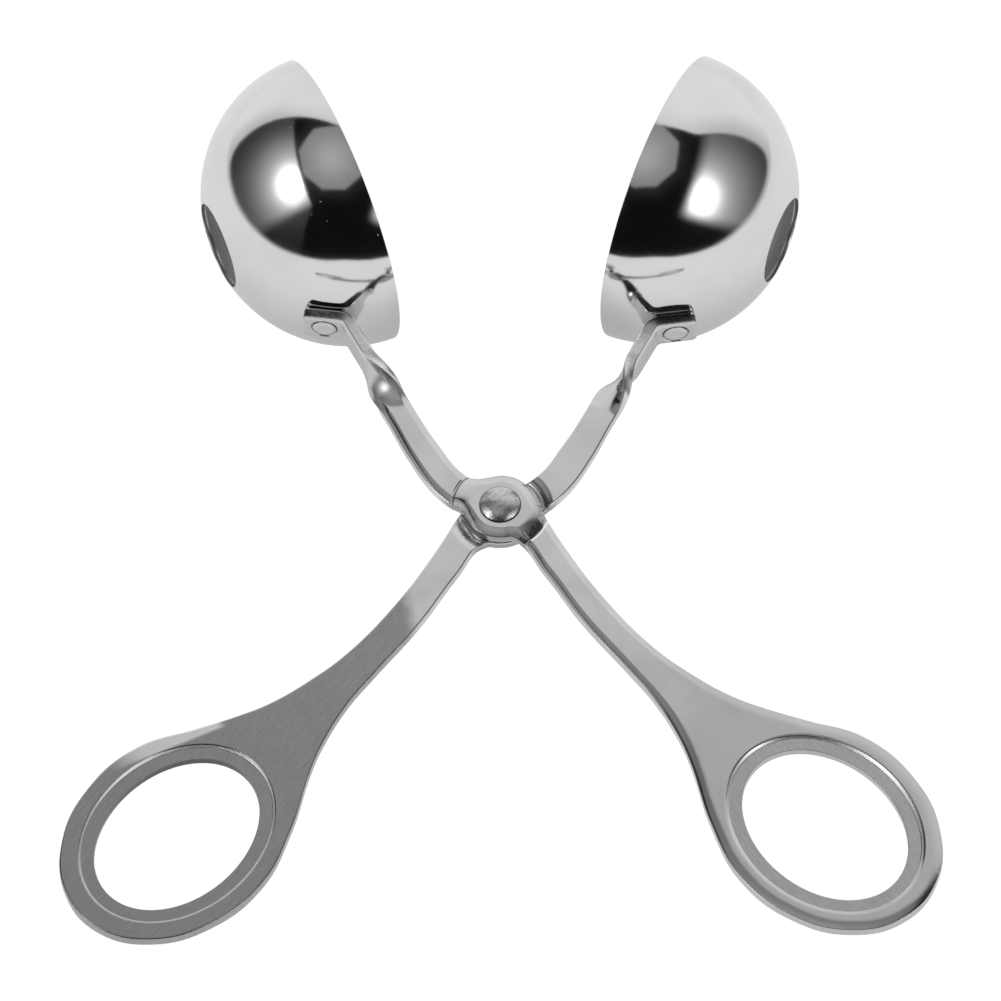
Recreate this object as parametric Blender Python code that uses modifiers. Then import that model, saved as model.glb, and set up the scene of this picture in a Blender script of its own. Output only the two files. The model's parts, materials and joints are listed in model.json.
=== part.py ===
"""Scissor tongs that shape a ball of minced meat between two bowls.

Two identical stamped levers cross at one rivet. The second lever is the
first one turned over, so its eye lies under the other's. Each lever has an
oval finger ring at one end. At the other end its bar is twisted on edge and
bent into a tab that carries a deep-drawn bowl with a round hole in its pole.

Lengths are in metres and +Z points up. The tongs lie as they do on a table,
open, on the two bowls and the ends of the rings.
"""

import math

import bmesh
import bpy
from mathutils import Matrix, Vector

MM = 0.001

# Clearances
SEAT_GAP = 0.3 * MM
CUT_OVERRUN = 1.0 * MM
MERGE = 0.0001 * MM

# Lever plate
PLATE_THICKNESS = 2.2 * MM
ROLLED_EDGE = 0.75 * MM
CRISP_EDGE = 0.2 * MM

# Pivot eye and its joggle
EYE_RADIUS = 6.0 * MM
JOGGLE_START = 5.4 * MM
JOGGLE_END = 7.9 * MM
JOGGLE_HANDLE_ANGLE = math.radians(-64.5)
JOGGLE_ARM_ANGLE = math.radians(128.0)
FLAT_LIFT = 0.6 * MM

# Handle and finger ring
HANDLE_REACH = 81.0 * MM
HANDLE_ANGLE = math.radians(-72.0)
NECK_WIDTH = 5.4 * MM
RING_LENGTH = 43.6 * MM
RING_WIDTH = 34.0 * MM
RING_END_BAND = 6.0 * MM
RING_SIDE_BAND = 5.35 * MM
LEDGE_WIDTH = 2.3 * MM
LEDGE_DEPTH = 0.3 * MM

# Upper arm
ARM_REACH = 25.6 * MM
ARM_ANGLE = math.radians(108.6)
ARM_WIDTH = 5.0 * MM
TWIST_LENGTH = 11.5 * MM
BEND_RADIUS = 2.6 * MM
TAB_WIDTH = 6.1 * MM
TAB_LENGTH = 7.1 * MM
TAB_CORNER = 0.9 * MM
TAB_SLIDE = 0.75 * MM
TAB_LIFT = 0.8 * MM

# Bowl
BOWL_RADIUS = 25.0 * MM
BOWL_DEPTH = 23.8 * MM
BOWL_SHEET = 0.8 * MM
BOWL_HOLE_RADIUS = 7.3 * MM
BOWL_REACH = 66.9 * MM
RIM_GAP = 0.4 * MM
TAB_SEAT_ANGLE = math.radians(29.0)
SEAT_FLAT = 0.45 * MM
SEAT_BLEND = 0.12 * MM

# Pivot rivet
PIVOT_SHANK_RADIUS = 2.1 * MM
PIVOT_HEAD_RADIUS = 3.35 * MM
PIVOT_HEAD_WALL = 0.35 * MM
PIVOT_HEAD_CROWN = 0.75 * MM
PIVOT_TAIL_RADIUS = 3.0 * MM
PIVOT_TAIL_WALL = 0.3 * MM
PIVOT_TAIL_CROWN = 0.5 * MM

# Flush rivet through tab and bowl
BOWL_RIVET_SHANK_RADIUS = 1.2 * MM
BOWL_RIVET_HEAD_RADIUS = 2.1 * MM
BOWL_RIVET_SINK = 0.8 * MM
BOWL_RIVET_CROWN = 0.15 * MM
BOWL_RIVET_TAIL_RADIUS = 2.1 * MM
BOWL_RIVET_TAIL_WALL = 0.2 * MM
BOWL_RIVET_TAIL_CROWN = 0.4 * MM

# How far each lever stands open from the closed ball
HALF_OPEN = math.radians(23.2)

# Sampling and shading of round shapes
OUTLINE_STEPS = 4
OVAL_SIDES = 56
BORE_SIDES = 24
ARC_STEP = math.radians(30.0)
ROLL_SEGMENTS = 3
JOGGLE_CUTS = 4
TWIST_CUTS = 12
BEND_CUTS = 6
BOWL_STEPS = 56
BOWL_ARC_POINTS = 11
RIVET_STEPS = 24
CROWN_POINTS = 4
EDGE_PROFILE_SHARE = 0.5
COPLANAR_ANGLE = math.radians(1.0)
RIM_ANGLE = math.radians(60.0)
CREASE_ANGLE = math.radians(38.0)

# Handle stations between eye and ring: distance along the handle and offset
# of its middle as shares of the reach, and width as a share of the neck.
HANDLE_STATION_SHARES = (
    (0.174, 0.001, 1.00),
    (0.309, -0.017, 1.02),
    (0.457, -0.021, 1.11),
    (0.547, -0.017, 1.41),
    (0.648, -0.014, 2.15),
    (0.709, -0.011, 2.90),
)
# Where the ring's outer oval meets the handle's edges, round the oval.
RING_INNER_EDGE_ANGLE = math.radians(-125.0)
RING_OUTER_EDGE_ANGLE = math.radians(141.0)

# The eye's round stretches run between these angles. The points that blend
# it into handle and arm are angles with shares of the eye's radius.
EYE_TOP_ARC = (math.radians(0.0), math.radians(88.0))
EYE_LOW_ARC = (math.radians(178.0), math.radians(250.0))
EYE_SHOULDER = (math.radians(-32.0), 1.20)
EYE_NECK = (math.radians(103.5), 1.13)
EYE_ARM_TOP = (math.radians(109.8), 1.54)
EYE_ARM_BELOW = (math.radians(137.0), 2.06)
EYE_ARM_HEEL = (math.radians(148.5), 1.49)
EYE_ARM_FOOT = (math.radians(162.0), 1.10)
EYE_HANDLE_CORNER = (math.radians(268.0), 1.06)

# One station of the curved arm between eye and twist: distance as a share
# of the arm's reach, the angle it lies at, its heading, and its width share.
ARM_STATION_SHARE = 0.655
ARM_STATION_ANGLE = math.radians(116.0)
ARM_STATION_HEADING = math.radians(98.5)
ARM_STATION_WIDTH_SHARE = 1.09


def polar(angle, radius):
    """Point at a distance and angle from the pivot, in the lever's plane."""
    return Vector((math.cos(angle), math.sin(angle))) * radius


def left_of(direction):
    """Direction turned a quarter turn counter-clockwise."""
    return Vector((-direction.y, direction.x))


def angles_between(start, end, step):
    """Evenly spaced angles from start to end, no further apart than step."""
    count = max(1, math.ceil(round((end - start) / step, 6)))
    return [start + (end - start) * i / count for i in range(count + 1)]


def ease(value):
    """Smooth ramp from 0 to 1."""
    value = min(1.0, max(0.0, value))
    return value * value * (3.0 - 2.0 * value)


# Places that follow from the sizes, in the closed lever's own frame: the
# pivot is the origin, the bowls meet on the plane x = 0.
EYE_LIFT = (PLATE_THICKNESS + SEAT_GAP) / 2.0
BOWL_CENTRE = Vector((-RIM_GAP / 2.0, BOWL_REACH))
HANDLE_AXIS = polar(HANDLE_ANGLE, 1.0)
RING_CENTRE = HANDLE_AXIS * HANDLE_REACH
RING_HOLE_LENGTH = RING_LENGTH - 2.0 * RING_END_BAND
RING_HOLE_WIDTH = RING_WIDTH - 2.0 * RING_SIDE_BAND


def bowl_profile_point(angle, inset):
    """Radius and depth on the bowl's wall, at an angle from its rim plane."""
    return ((BOWL_RADIUS - inset) * math.cos(angle), (BOWL_DEPTH - inset) * math.sin(angle))


def seat_frame():
    """Point on the bowl's outer wall under the tab, and its outward normal."""
    radius, depth = bowl_profile_point(TAB_SEAT_ANGLE, 0.0)
    normal = Vector((-math.sin(TAB_SEAT_ANGLE) / BOWL_DEPTH, -math.cos(TAB_SEAT_ANGLE) / BOWL_RADIUS))
    return BOWL_CENTRE + Vector((-depth, -radius)), normal.normalized()


SEAT_POINT, SEAT_NORMAL = seat_frame()
TAB_HEADING = left_of(SEAT_NORMAL) * -1.0
TAB_MIDDLE = (SEAT_POINT + SEAT_NORMAL * (SEAT_GAP - SEAT_FLAT + PLATE_THICKNESS / 2.0)
              + TAB_HEADING * TAB_SLIDE)
TAB_RISE = FLAT_LIFT + TAB_LIFT
BEND_CORNER = TAB_MIDDLE - TAB_HEADING * (TAB_LENGTH / 2.0)
TWIST_START = polar(ARM_ANGLE, ARM_REACH)
ARM_HEADING = (BEND_CORNER - TWIST_START).normalized()
BEND_ANGLE = ARM_HEADING.angle(TAB_HEADING)
BEND_SETBACK = BEND_RADIUS * math.tan(BEND_ANGLE / 2.0)
BEND_START = (BEND_CORNER - TWIST_START).length - BEND_SETBACK
BEND_END = BEND_START + BEND_RADIUS * BEND_ANGLE
BAR_END = BEND_END + TAB_LENGTH - BEND_SETBACK
TAB_RIVET_STATION = BAR_END - TAB_LENGTH / 2.0


def clear_scene():
    """Remove every object of the open file."""
    for item in list(bpy.data.objects):
        bpy.data.objects.remove(item, do_unlink=True)


def new_collection(name):
    """Collection of that name in the scene."""
    group = bpy.data.collections.new(name)
    bpy.context.scene.collection.children.link(group)
    return group


def steel(name, colour, roughness):
    """Stainless steel with one colour and polish."""
    material = bpy.data.materials.new(name)
    material.use_nodes = True
    shader = material.node_tree.nodes["Principled BSDF"]
    shader.inputs["Base Color"].default_value = (*colour, 1.0)
    shader.inputs["Roughness"].default_value = roughness
    shader.inputs["Metallic"].default_value = 1.0
    material.diffuse_color = (*colour, 1.0)
    return material


def evaluated_mesh(item):
    """Mesh of an object with its modifiers, or of a curve, applied."""
    graph = bpy.context.evaluated_depsgraph_get()
    return bpy.data.meshes.new_from_object(item.evaluated_get(graph))


def mesh_object(name, mesh, group):
    """Object for a mesh, linked to a collection."""
    item = bpy.data.objects.new(name, mesh)
    group.objects.link(item)
    return item


def cutter(name, group, radii, depth, place, ends=(1.0, 1.0), sides=OVAL_SIDES):
    """Round or oval cutting body, scaled at each end by its share."""
    mesh = bpy.data.meshes.new(name)
    body = bmesh.new()
    bmesh.ops.create_cone(
        body, cap_ends=True, segments=sides, radius1=ends[0], radius2=ends[1], depth=1.0)
    bmesh.ops.scale(body, vec=(radii[0], radii[1], depth), verts=body.verts)
    body.to_mesh(mesh)
    body.free()
    item = mesh_object(name, mesh, group)
    item.matrix_world = place
    item.hide_render = True
    item.display_type = "WIRE"
    return item


def cut(item, tool):
    """Take one body away from another."""
    modifier = item.modifiers.new(tool.name, "BOOLEAN")
    modifier.operation = "DIFFERENCE"
    modifier.solver = "EXACT"
    modifier.object = tool


def blend_point(angle_and_share):
    """Outline point near the eye."""
    angle, share = angle_and_share
    return polar(angle, EYE_RADIUS * share)


def ring_point(angle):
    """Point on the ring's outer oval."""
    side = left_of(HANDLE_AXIS)
    along = HANDLE_AXIS * (RING_LENGTH / 2.0 * math.cos(angle))
    return RING_CENTRE + along + side * (RING_WIDTH / 2.0 * math.sin(angle))


def handle_edge(side_sign):
    """Edge points of the handle from eye to ring, on one side."""
    side = left_of(HANDLE_AXIS)
    points = []
    for along, middle, width in HANDLE_STATION_SHARES:
        aside = middle * HANDLE_REACH + side_sign * width * NECK_WIDTH / 2.0
        points.append(HANDLE_AXIS * (along * HANDLE_REACH) + side * aside)
    return points


def arm_edge(side_sign):
    """Edge points of the flat, curved arm from eye to twist, on one side."""
    heading = polar(ARM_STATION_HEADING, 1.0)
    middle = polar(ARM_STATION_ANGLE, ARM_REACH * ARM_STATION_SHARE)
    half = ARM_WIDTH / 2.0
    return [
        middle + left_of(heading) * (side_sign * half * ARM_STATION_WIDTH_SHARE),
        TWIST_START + left_of(ARM_HEADING) * (side_sign * half),
    ]


def bar_point(station, aside):
    """Point of the flat bar past the twist's start, before it is formed."""
    return TWIST_START + ARM_HEADING * station + left_of(ARM_HEADING) * aside


def tab_end():
    """Points of the bar's end, from its right edge round to its left."""
    half = TAB_WIDTH / 2.0
    corner = Vector((BAR_END - TAB_CORNER, half - TAB_CORNER))
    points = [bar_point(TWIST_LENGTH, -half)]
    for turn in angles_between(-math.pi / 2.0, 0.0, ARC_STEP):
        points.append(bar_point(
            corner.x + TAB_CORNER * math.cos(turn), -corner.y + TAB_CORNER * math.sin(turn)))
    for turn in angles_between(0.0, math.pi / 2.0, ARC_STEP):
        points.append(bar_point(
            corner.x + TAB_CORNER * math.cos(turn), corner.y + TAB_CORNER * math.sin(turn)))
    return points + [bar_point(TWIST_LENGTH, half)]


def blank_outline():
    """Outline of the stamped blank, counter-clockwise, as smooth and straight points."""
    smooth = [ring_point(angle) for angle in angles_between(
        RING_INNER_EDGE_ANGLE, RING_OUTER_EDGE_ANGLE, ARC_STEP)]
    smooth += reversed(handle_edge(1.0))
    smooth.append(blend_point(EYE_SHOULDER))
    smooth += [polar(angle, EYE_RADIUS) for angle in angles_between(*EYE_TOP_ARC, ARC_STEP)]
    smooth += [blend_point(EYE_NECK), blend_point(EYE_ARM_TOP)]
    smooth += arm_edge(-1.0)
    straight = tab_end()
    back = list(reversed(arm_edge(1.0)))
    back += [blend_point(place) for place in (EYE_ARM_BELOW, EYE_ARM_HEEL, EYE_ARM_FOOT)]
    back += [polar(angle, EYE_RADIUS) for angle in angles_between(*EYE_LOW_ARC, ARC_STEP)]
    back.append(blend_point(EYE_HANDLE_CORNER))
    back += handle_edge(-1.0)
    points = [(point, "AUTO") for point in smooth]
    points += [(point, "VECTOR") for point in straight]
    points += [(point, "AUTO") for point in back]
    return points


def blank_plate(group):
    """Flat blank: the outline raised to the plate's thickness, its edges eased."""
    outline = blank_outline()
    curve = bpy.data.curves.new("blank_outline", "CURVE")
    curve.dimensions = "2D"
    curve.fill_mode = "BOTH"
    curve.extrude = PLATE_THICKNESS / 2.0
    curve.resolution_u = OUTLINE_STEPS
    spline = curve.splines.new("BEZIER")
    spline.bezier_points.add(len(outline) - 1)
    spline.use_cyclic_u = True
    for knot, (point, handle) in zip(spline.bezier_points, outline):
        knot.co = (point.x, point.y, 0.0)
        knot.handle_left_type = handle
        knot.handle_right_type = handle
    drawing = bpy.data.objects.new("blank_outline", curve)
    group.objects.link(drawing)
    mesh = evaluated_mesh(drawing)
    bpy.data.objects.remove(drawing)

    plate = bmesh.new()
    plate.from_mesh(mesh)
    bmesh.ops.remove_doubles(plate, verts=plate.verts, dist=MERGE)
    bmesh.ops.dissolve_limit(
        plate, angle_limit=COPLANAR_ANGLE, verts=[], edges=plate.edges, delimit={"NORMAL"})
    bmesh.ops.recalc_face_normals(plate, faces=plate.faces)
    for level, width, segments in (
            (1.0, ROLLED_EDGE, ROLL_SEGMENTS), (-1.0, CRISP_EDGE, 1)):
        edges = [edge for edge in plate.edges if is_face_rim(edge, level)]
        bmesh.ops.bevel(
            plate, geom=edges, offset=width, offset_type="OFFSET", segments=segments,
            profile=EDGE_PROFILE_SHARE, affect="EDGES", clamp_overlap=True)
    bmesh.ops.triangulate(plate, faces=plate.faces)
    plate.to_mesh(mesh)
    plate.free()
    return mesh_object("blank", mesh, group)


def is_face_rim(edge, level):
    """Whether an edge runs round the blank's upper or lower face."""
    half = PLATE_THICKNESS / 2.0
    if any(abs(vert.co.z - level * half) > MERGE for vert in edge.verts):
        return False
    return edge.is_manifold and edge.calc_face_angle() > RIM_ANGLE


def plan_place(point, height, turn):
    """Placement on the blank, turned about Z."""
    return Matrix.Translation((point.x, point.y, height)) @ Matrix.Rotation(turn, 4, "Z")


def cut_blank(blank, group):
    """Pivot bore, finger hole with its ledges, and the tab's countersunk rivet hole."""
    through = PLATE_THICKNESS + 2.0 * CUT_OVERRUN
    bore = PIVOT_SHANK_RADIUS + SEAT_GAP
    ring_place = plan_place(RING_CENTRE, 0.0, HANDLE_ANGLE)
    hole = (RING_HOLE_LENGTH / 2.0, RING_HOLE_WIDTH / 2.0)
    ledge = (hole[0] + LEDGE_WIDTH, hole[1] + LEDGE_WIDTH)
    cut(blank, cutter("pivot_bore", group, (bore, bore), through,
                      Matrix.Identity(4), sides=BORE_SIDES))
    cut(blank, cutter("finger_hole", group, hole, through, ring_place))
    for name, level in (("upper_ledge", 1.0), ("lower_ledge", -1.0)):
        middle = level * (PLATE_THICKNESS / 2.0 - LEDGE_DEPTH + through / 2.0)
        place = Matrix.Translation((0.0, 0.0, middle)) @ ring_place
        cut(blank, cutter(name, group, ledge, through, place))
    shank = BOWL_RIVET_SHANK_RADIUS + SEAT_GAP
    rivet_place = plan_place(bar_point(TAB_RIVET_STATION, 0.0), 0.0, 0.0)
    cut(blank, cutter("tab_bore", group, (shank, shank), through, rivet_place, sides=BORE_SIDES))
    head = BOWL_RIVET_HEAD_RADIUS + SEAT_GAP
    sink_share = shank / head
    slope = (head - shank) / BOWL_RIVET_SINK
    rise = CUT_OVERRUN * slope / head
    depth = BOWL_RIVET_SINK + CUT_OVERRUN
    middle = PLATE_THICKNESS / 2.0 + CUT_OVERRUN - depth / 2.0
    sink_place = Matrix.Translation((0.0, 0.0, middle)) @ rivet_place
    cut(blank, cutter("tab_sink", group, (head, head), depth, sink_place,
                      ends=(sink_share, 1.0 + rise), sides=BORE_SIDES))


def formed(point):
    """Where a point of the flat blank goes when the lever is formed."""
    flat = point.xy
    station = (flat - TWIST_START).dot(ARM_HEADING)
    if station <= 0.0:
        lift = EYE_LIFT - FLAT_LIFT
        for angle in (JOGGLE_HANDLE_ANGLE, JOGGLE_ARM_ANGLE):
            reach = flat.dot(polar(angle, 1.0))
            lift *= 1.0 - ease((reach - JOGGLE_START) / (JOGGLE_END - JOGGLE_START))
        return Vector((flat.x, flat.y, point.z + FLAT_LIFT + lift))

    aside = (flat - TWIST_START).dot(left_of(ARM_HEADING)) * -1.0
    turn = max(0.0, min(BEND_ANGLE, (station - BEND_START) / BEND_RADIUS))
    heading = Matrix.Rotation(turn, 2) @ ARM_HEADING
    centre = bar_point(BEND_START, BEND_RADIUS)
    if turn == 0.0:
        middle = bar_point(station, 0.0)
    else:
        past = max(0.0, station - BEND_END)
        middle = centre - left_of(heading) * BEND_RADIUS + heading * past
    right = left_of(heading) * -1.0
    share = ease(station / TWIST_LENGTH)
    twist = math.pi / 2.0 * share
    across = aside * math.cos(twist) - point.z * math.sin(twist)
    height = aside * math.sin(twist) + point.z * math.cos(twist) + FLAT_LIFT + TAB_LIFT * share
    return Vector((middle.x + right.x * across, middle.y + right.y * across, height))


def crease(body, point, normal):
    """Split the mesh along a line of the plan, so that it can bend there."""
    bmesh.ops.bisect_plane(
        body, geom=body.verts[:] + body.edges[:] + body.faces[:], dist=MERGE,
        plane_co=(point.x, point.y, 0.0), plane_no=(normal.x, normal.y, 0.0))


def lever_mesh(work):
    """One finished lever, about the pivot, for the closed position."""
    blank = blank_plate(work)
    cut_blank(blank, work)
    mesh = evaluated_mesh(blank)
    blank.hide_render = True
    blank.display_type = "WIRE"
    body = bmesh.new()
    body.from_mesh(mesh)
    bmesh.ops.remove_doubles(body, verts=body.verts, dist=MERGE)
    bmesh.ops.triangulate(body, faces=body.faces)
    for angle in (JOGGLE_HANDLE_ANGLE, JOGGLE_ARM_ANGLE):
        for i in range(JOGGLE_CUTS + 1):
            reach = JOGGLE_START + (JOGGLE_END - JOGGLE_START) * i / JOGGLE_CUTS
            crease(body, polar(angle, reach), polar(angle, 1.0))
    for i in range(TWIST_CUTS + 1):
        crease(body, bar_point(TWIST_LENGTH * i / TWIST_CUTS, 0.0), ARM_HEADING)
    for i in range(BEND_CUTS + 1):
        station = BEND_START + (BEND_END - BEND_START) * i / BEND_CUTS
        crease(body, bar_point(station, 0.0), ARM_HEADING)
    bmesh.ops.triangulate(body, faces=body.faces)
    for vert in body.verts:
        vert.co = formed(vert.co)
    bmesh.ops.recalc_face_normals(body, faces=body.faces)
    body.to_mesh(mesh)
    body.free()
    mesh.name = "lever"
    mesh.shade_smooth()
    mesh.set_sharp_from_angle(angle=CREASE_ANGLE)
    return mesh


def turned_mesh(name, profile, steps, closed, work):
    """Body turned about Z from a profile of radius and height points."""
    mesh = bpy.data.meshes.new(name)
    count = len(profile)
    edges = [(i, i + 1) for i in range(count - 1)]
    if closed:
        edges.append((count - 1, 0))
    mesh.from_pydata([(radius, 0.0, height) for radius, height in profile], edges, [])
    item = mesh_object(name, mesh, work)
    screw = item.modifiers.new("turn", "SCREW")
    screw.axis = "Z"
    screw.steps = steps
    screw.render_steps = steps
    screw.use_merge_vertices = True
    screw.merge_threshold = MERGE
    result = evaluated_mesh(item)
    result.name = name
    bpy.data.objects.remove(item)
    return result


def bowl_mesh(work):
    """Deep-drawn bowl with a hole in its pole, rim plane at z = 0, pole up."""
    outer_end = math.acos(BOWL_HOLE_RADIUS / BOWL_RADIUS)
    inner_end = math.acos(BOWL_HOLE_RADIUS / (BOWL_RADIUS - BOWL_SHEET))
    last = BOWL_ARC_POINTS - 1
    outer = [bowl_profile_point(outer_end * i / last, 0.0) for i in range(BOWL_ARC_POINTS)]
    inner = [bowl_profile_point(inner_end * i / last, BOWL_SHEET) for i in range(BOWL_ARC_POINTS)]
    return turned_mesh("bowl_wall", list(reversed(outer)) + inner, BOWL_STEPS, True, work)


def crown(radius, base, rise):
    """Low round top from the axis out to the edge."""
    points = []
    for i in range(CROWN_POINTS):
        turn = math.pi / 2.0 * i / (CROWN_POINTS - 1)
        points.append((radius * math.sin(turn), base + rise * math.cos(turn)))
    return points


def rivet_mesh(name, top, tail, shank_radius, seats, work):
    """Rivet turned about Z: crowned head, shank, and closed tail.

    top and tail are radius, wall and crown heights, and seats are the heights
    of the head's and the tail's seating faces.
    """
    head_seat, tail_seat = seats
    profile = crown(top[0], head_seat + top[1], top[2])
    profile += [(top[0], head_seat), (shank_radius, head_seat - top[3])]
    profile += [(shank_radius, tail_seat), (tail[0], tail_seat)]
    bottom = crown(tail[0], tail[1], tail[2])
    profile += [(radius, tail_seat - height) for radius, height in reversed(bottom)]
    return turned_mesh(name, profile, RIVET_STEPS, False, work)


def pivot_rivet_mesh(work):
    """Rivet that holds the two eyes together, about the pivot."""
    seat = EYE_LIFT + PLATE_THICKNESS / 2.0 + SEAT_GAP
    top = (PIVOT_HEAD_RADIUS, PIVOT_HEAD_WALL, PIVOT_HEAD_CROWN, 0.0)
    tail = (PIVOT_TAIL_RADIUS, PIVOT_TAIL_WALL, PIVOT_TAIL_CROWN)
    return rivet_mesh("pivot_rivet", top, tail, PIVOT_SHANK_RADIUS, (seat, -seat), work)


def bowl_rivet_mesh(work):
    """Flush rivet of a tab; z = 0 is the tab's outer face and +Z points out."""
    sheet_inside = -(PLATE_THICKNESS + SEAT_GAP + BOWL_SHEET)
    top = (BOWL_RIVET_HEAD_RADIUS, 0.0, BOWL_RIVET_CROWN, BOWL_RIVET_SINK)
    tail = (BOWL_RIVET_TAIL_RADIUS, BOWL_RIVET_TAIL_WALL, BOWL_RIVET_TAIL_CROWN)
    seats = (0.0, sheet_inside - SEAT_GAP)
    return rivet_mesh("bowl_rivet", top, tail, BOWL_RIVET_SHANK_RADIUS, seats, work)


def rivet_place():
    """Placement of a bowl's rivet on its tab, in the lever's frame."""
    face = TAB_MIDDLE + SEAT_NORMAL * (PLATE_THICKNESS / 2.0)
    turn = Vector((0.0, 0.0, 1.0)).rotation_difference(Vector((SEAT_NORMAL.x, SEAT_NORMAL.y, 0.0)))
    return Matrix.Translation((face.x, face.y, TAB_RISE)) @ turn.to_matrix().to_4x4()


def bowl_place():
    """Placement of a bowl: its pole points away from the other bowl."""
    return (Matrix.Translation((BOWL_CENTRE.x, BOWL_CENTRE.y, 0.0))
            @ Matrix.Rotation(-math.pi / 2.0, 4, "Y"))


def press_seat(mesh):
    """Press the flat for the tab into the bowl's wall, softly round its edge."""
    local = bowl_place().inverted()
    normal = local.to_3x3() @ Vector((SEAT_NORMAL.x, SEAT_NORMAL.y, 0.0))
    point = local @ Vector((SEAT_POINT.x, SEAT_POINT.y, 0.0))
    level = point.dot(normal) - SEAT_FLAT
    for vert in mesh.vertices:
        outward = vert.co.normalized()
        reach = 1.0 / math.hypot(outward.xy.length / BOWL_RADIUS, outward.z / BOWL_DEPTH)
        over = reach * outward.dot(normal) - level
        vert.co -= normal * ((over + math.hypot(over, SEAT_BLEND)) / 2.0)


def drilled_bowl(work):
    """Bowl with the flat for its tab and the hole that its rivet passes through."""
    shell = mesh_object("bowl_blank", bowl_mesh(work), work)
    press_seat(shell.data)
    radius = BOWL_RIVET_SHANK_RADIUS + SEAT_GAP
    depth = BOWL_SHEET + 2.0 * CUT_OVERRUN
    place = bowl_place().inverted() @ rivet_place()
    place = place @ Matrix.Translation((0.0, 0.0, -PLATE_THICKNESS - SEAT_GAP - BOWL_SHEET / 2.0))
    cut(shell, cutter("bowl_bore", work, (radius, radius), depth, place, sides=BORE_SIDES))
    mesh = evaluated_mesh(shell)
    shell.hide_render = True
    shell.display_type = "WIRE"
    mesh.name = "bowl"
    mesh.shade_smooth()
    mesh.set_sharp_from_angle(angle=CREASE_ANGLE)
    return mesh


def rest_tilt():
    """Angle between the levers' plane and the table under bowls and rings."""
    turned = HANDLE_ANGLE + HALF_OPEN
    ring_drop = math.hypot(
        RING_LENGTH / 2.0 * math.sin(turned), RING_WIDTH / 2.0 * math.cos(turned))
    bowl_y = BOWL_REACH * math.cos(HALF_OPEN) - RIM_GAP / 2.0 * math.sin(HALF_OPEN)
    run = bowl_y + ring_drop - HANDLE_REACH * math.sin(turned)
    drop = PLATE_THICKNESS / 2.0 + FLAT_LIFT
    return math.asin(BOWL_RADIUS / math.hypot(run, drop)) - math.atan2(drop, run)


def new_empty(name, parent, matrix, group):
    """Empty that carries the pieces of one side."""
    empty = bpy.data.objects.new(name, None)
    group.objects.link(empty)
    empty.parent = parent
    empty.matrix_local = matrix
    return empty


def add_piece(name, mesh, material, parent, matrix, group):
    """One sub-part, carried by an empty."""
    item = mesh_object(name, mesh, group)
    if not mesh.materials:
        mesh.materials.append(material)
    item.material_slots[0].link = "OBJECT"
    item.material_slots[0].material = material
    item.parent = parent
    item.matrix_local = matrix
    return item


def stand_on_table(root, pieces):
    """Move the whole so that it stands on z = 0 with its box's middle at x = y = 0."""
    bpy.context.view_layer.update()
    corners = [piece.matrix_world @ vert.co for piece in pieces for vert in piece.data.vertices]
    low = [min(corner[axis] for corner in corners) for axis in range(3)]
    high = [max(corner[axis] for corner in corners) for axis in range(3)]
    root.location.x -= (low[0] + high[0]) / 2.0
    root.location.y -= (low[1] + high[1]) / 2.0
    root.location.z -= low[2]
    bpy.context.view_layer.update()


def main():
    """Build the tongs."""
    clear_scene()
    parts = new_collection("meatball_scoop")
    work = new_collection("cutters")

    brushed = steel("brushed_steel", (0.42, 0.42, 0.42), 0.34)
    satin = steel("satin_steel", (0.62, 0.62, 0.62), 0.22)
    mirror = steel("mirror_steel", (0.78, 0.78, 0.78), 0.08)
    rivet_steel = steel("rivet_steel", (0.55, 0.55, 0.55), 0.28)

    lever = lever_mesh(work)
    bowl = drilled_bowl(work)
    bowl_rivet = bowl_rivet_mesh(work)
    pivot_rivet = pivot_rivet_mesh(work)
    for turned in (bowl_rivet, pivot_rivet):
        turned.shade_smooth()
        turned.set_sharp_from_angle(angle=CREASE_ANGLE)

    root = new_empty("tongs", None, Matrix.Rotation(rest_tilt(), 4, "X"), parts)
    left = new_empty("left_side", root, Matrix.Rotation(HALF_OPEN, 4, "Z"), parts)
    turned_over = Matrix.Rotation(-HALF_OPEN, 4, "Z") @ Matrix.Rotation(math.pi, 4, "Y")
    right = new_empty("right_side", root, turned_over, parts)

    pieces = [
        add_piece("upper_lever", lever, satin, left, Matrix.Identity(4), parts),
        add_piece("left_bowl", bowl, mirror, left, bowl_place(), parts),
        add_piece("left_bowl_rivet", bowl_rivet, satin, left, rivet_place(), parts),
        add_piece("pivot_rivet", pivot_rivet, rivet_steel, left, Matrix.Identity(4), parts),
        add_piece("lower_lever", lever, brushed, right, Matrix.Identity(4), parts),
        add_piece("right_bowl", bowl, mirror, right, bowl_place(), parts),
        add_piece("right_bowl_rivet", bowl_rivet, satin, right, rivet_place(), parts),
    ]
    stand_on_table(root, pieces)


main()
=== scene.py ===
"""Looks of a scissor-type meatball scoop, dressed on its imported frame.

Every piece of steel is made again with a fine surface: two stamped levers
that are one blank, formed and turned over, two deep-drawn bowls, and their
rivets. The studio is a white table with a paper sweep behind it, under a dark
room with a soft light on each side and a dim octagonal one overhead.
"""

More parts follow.
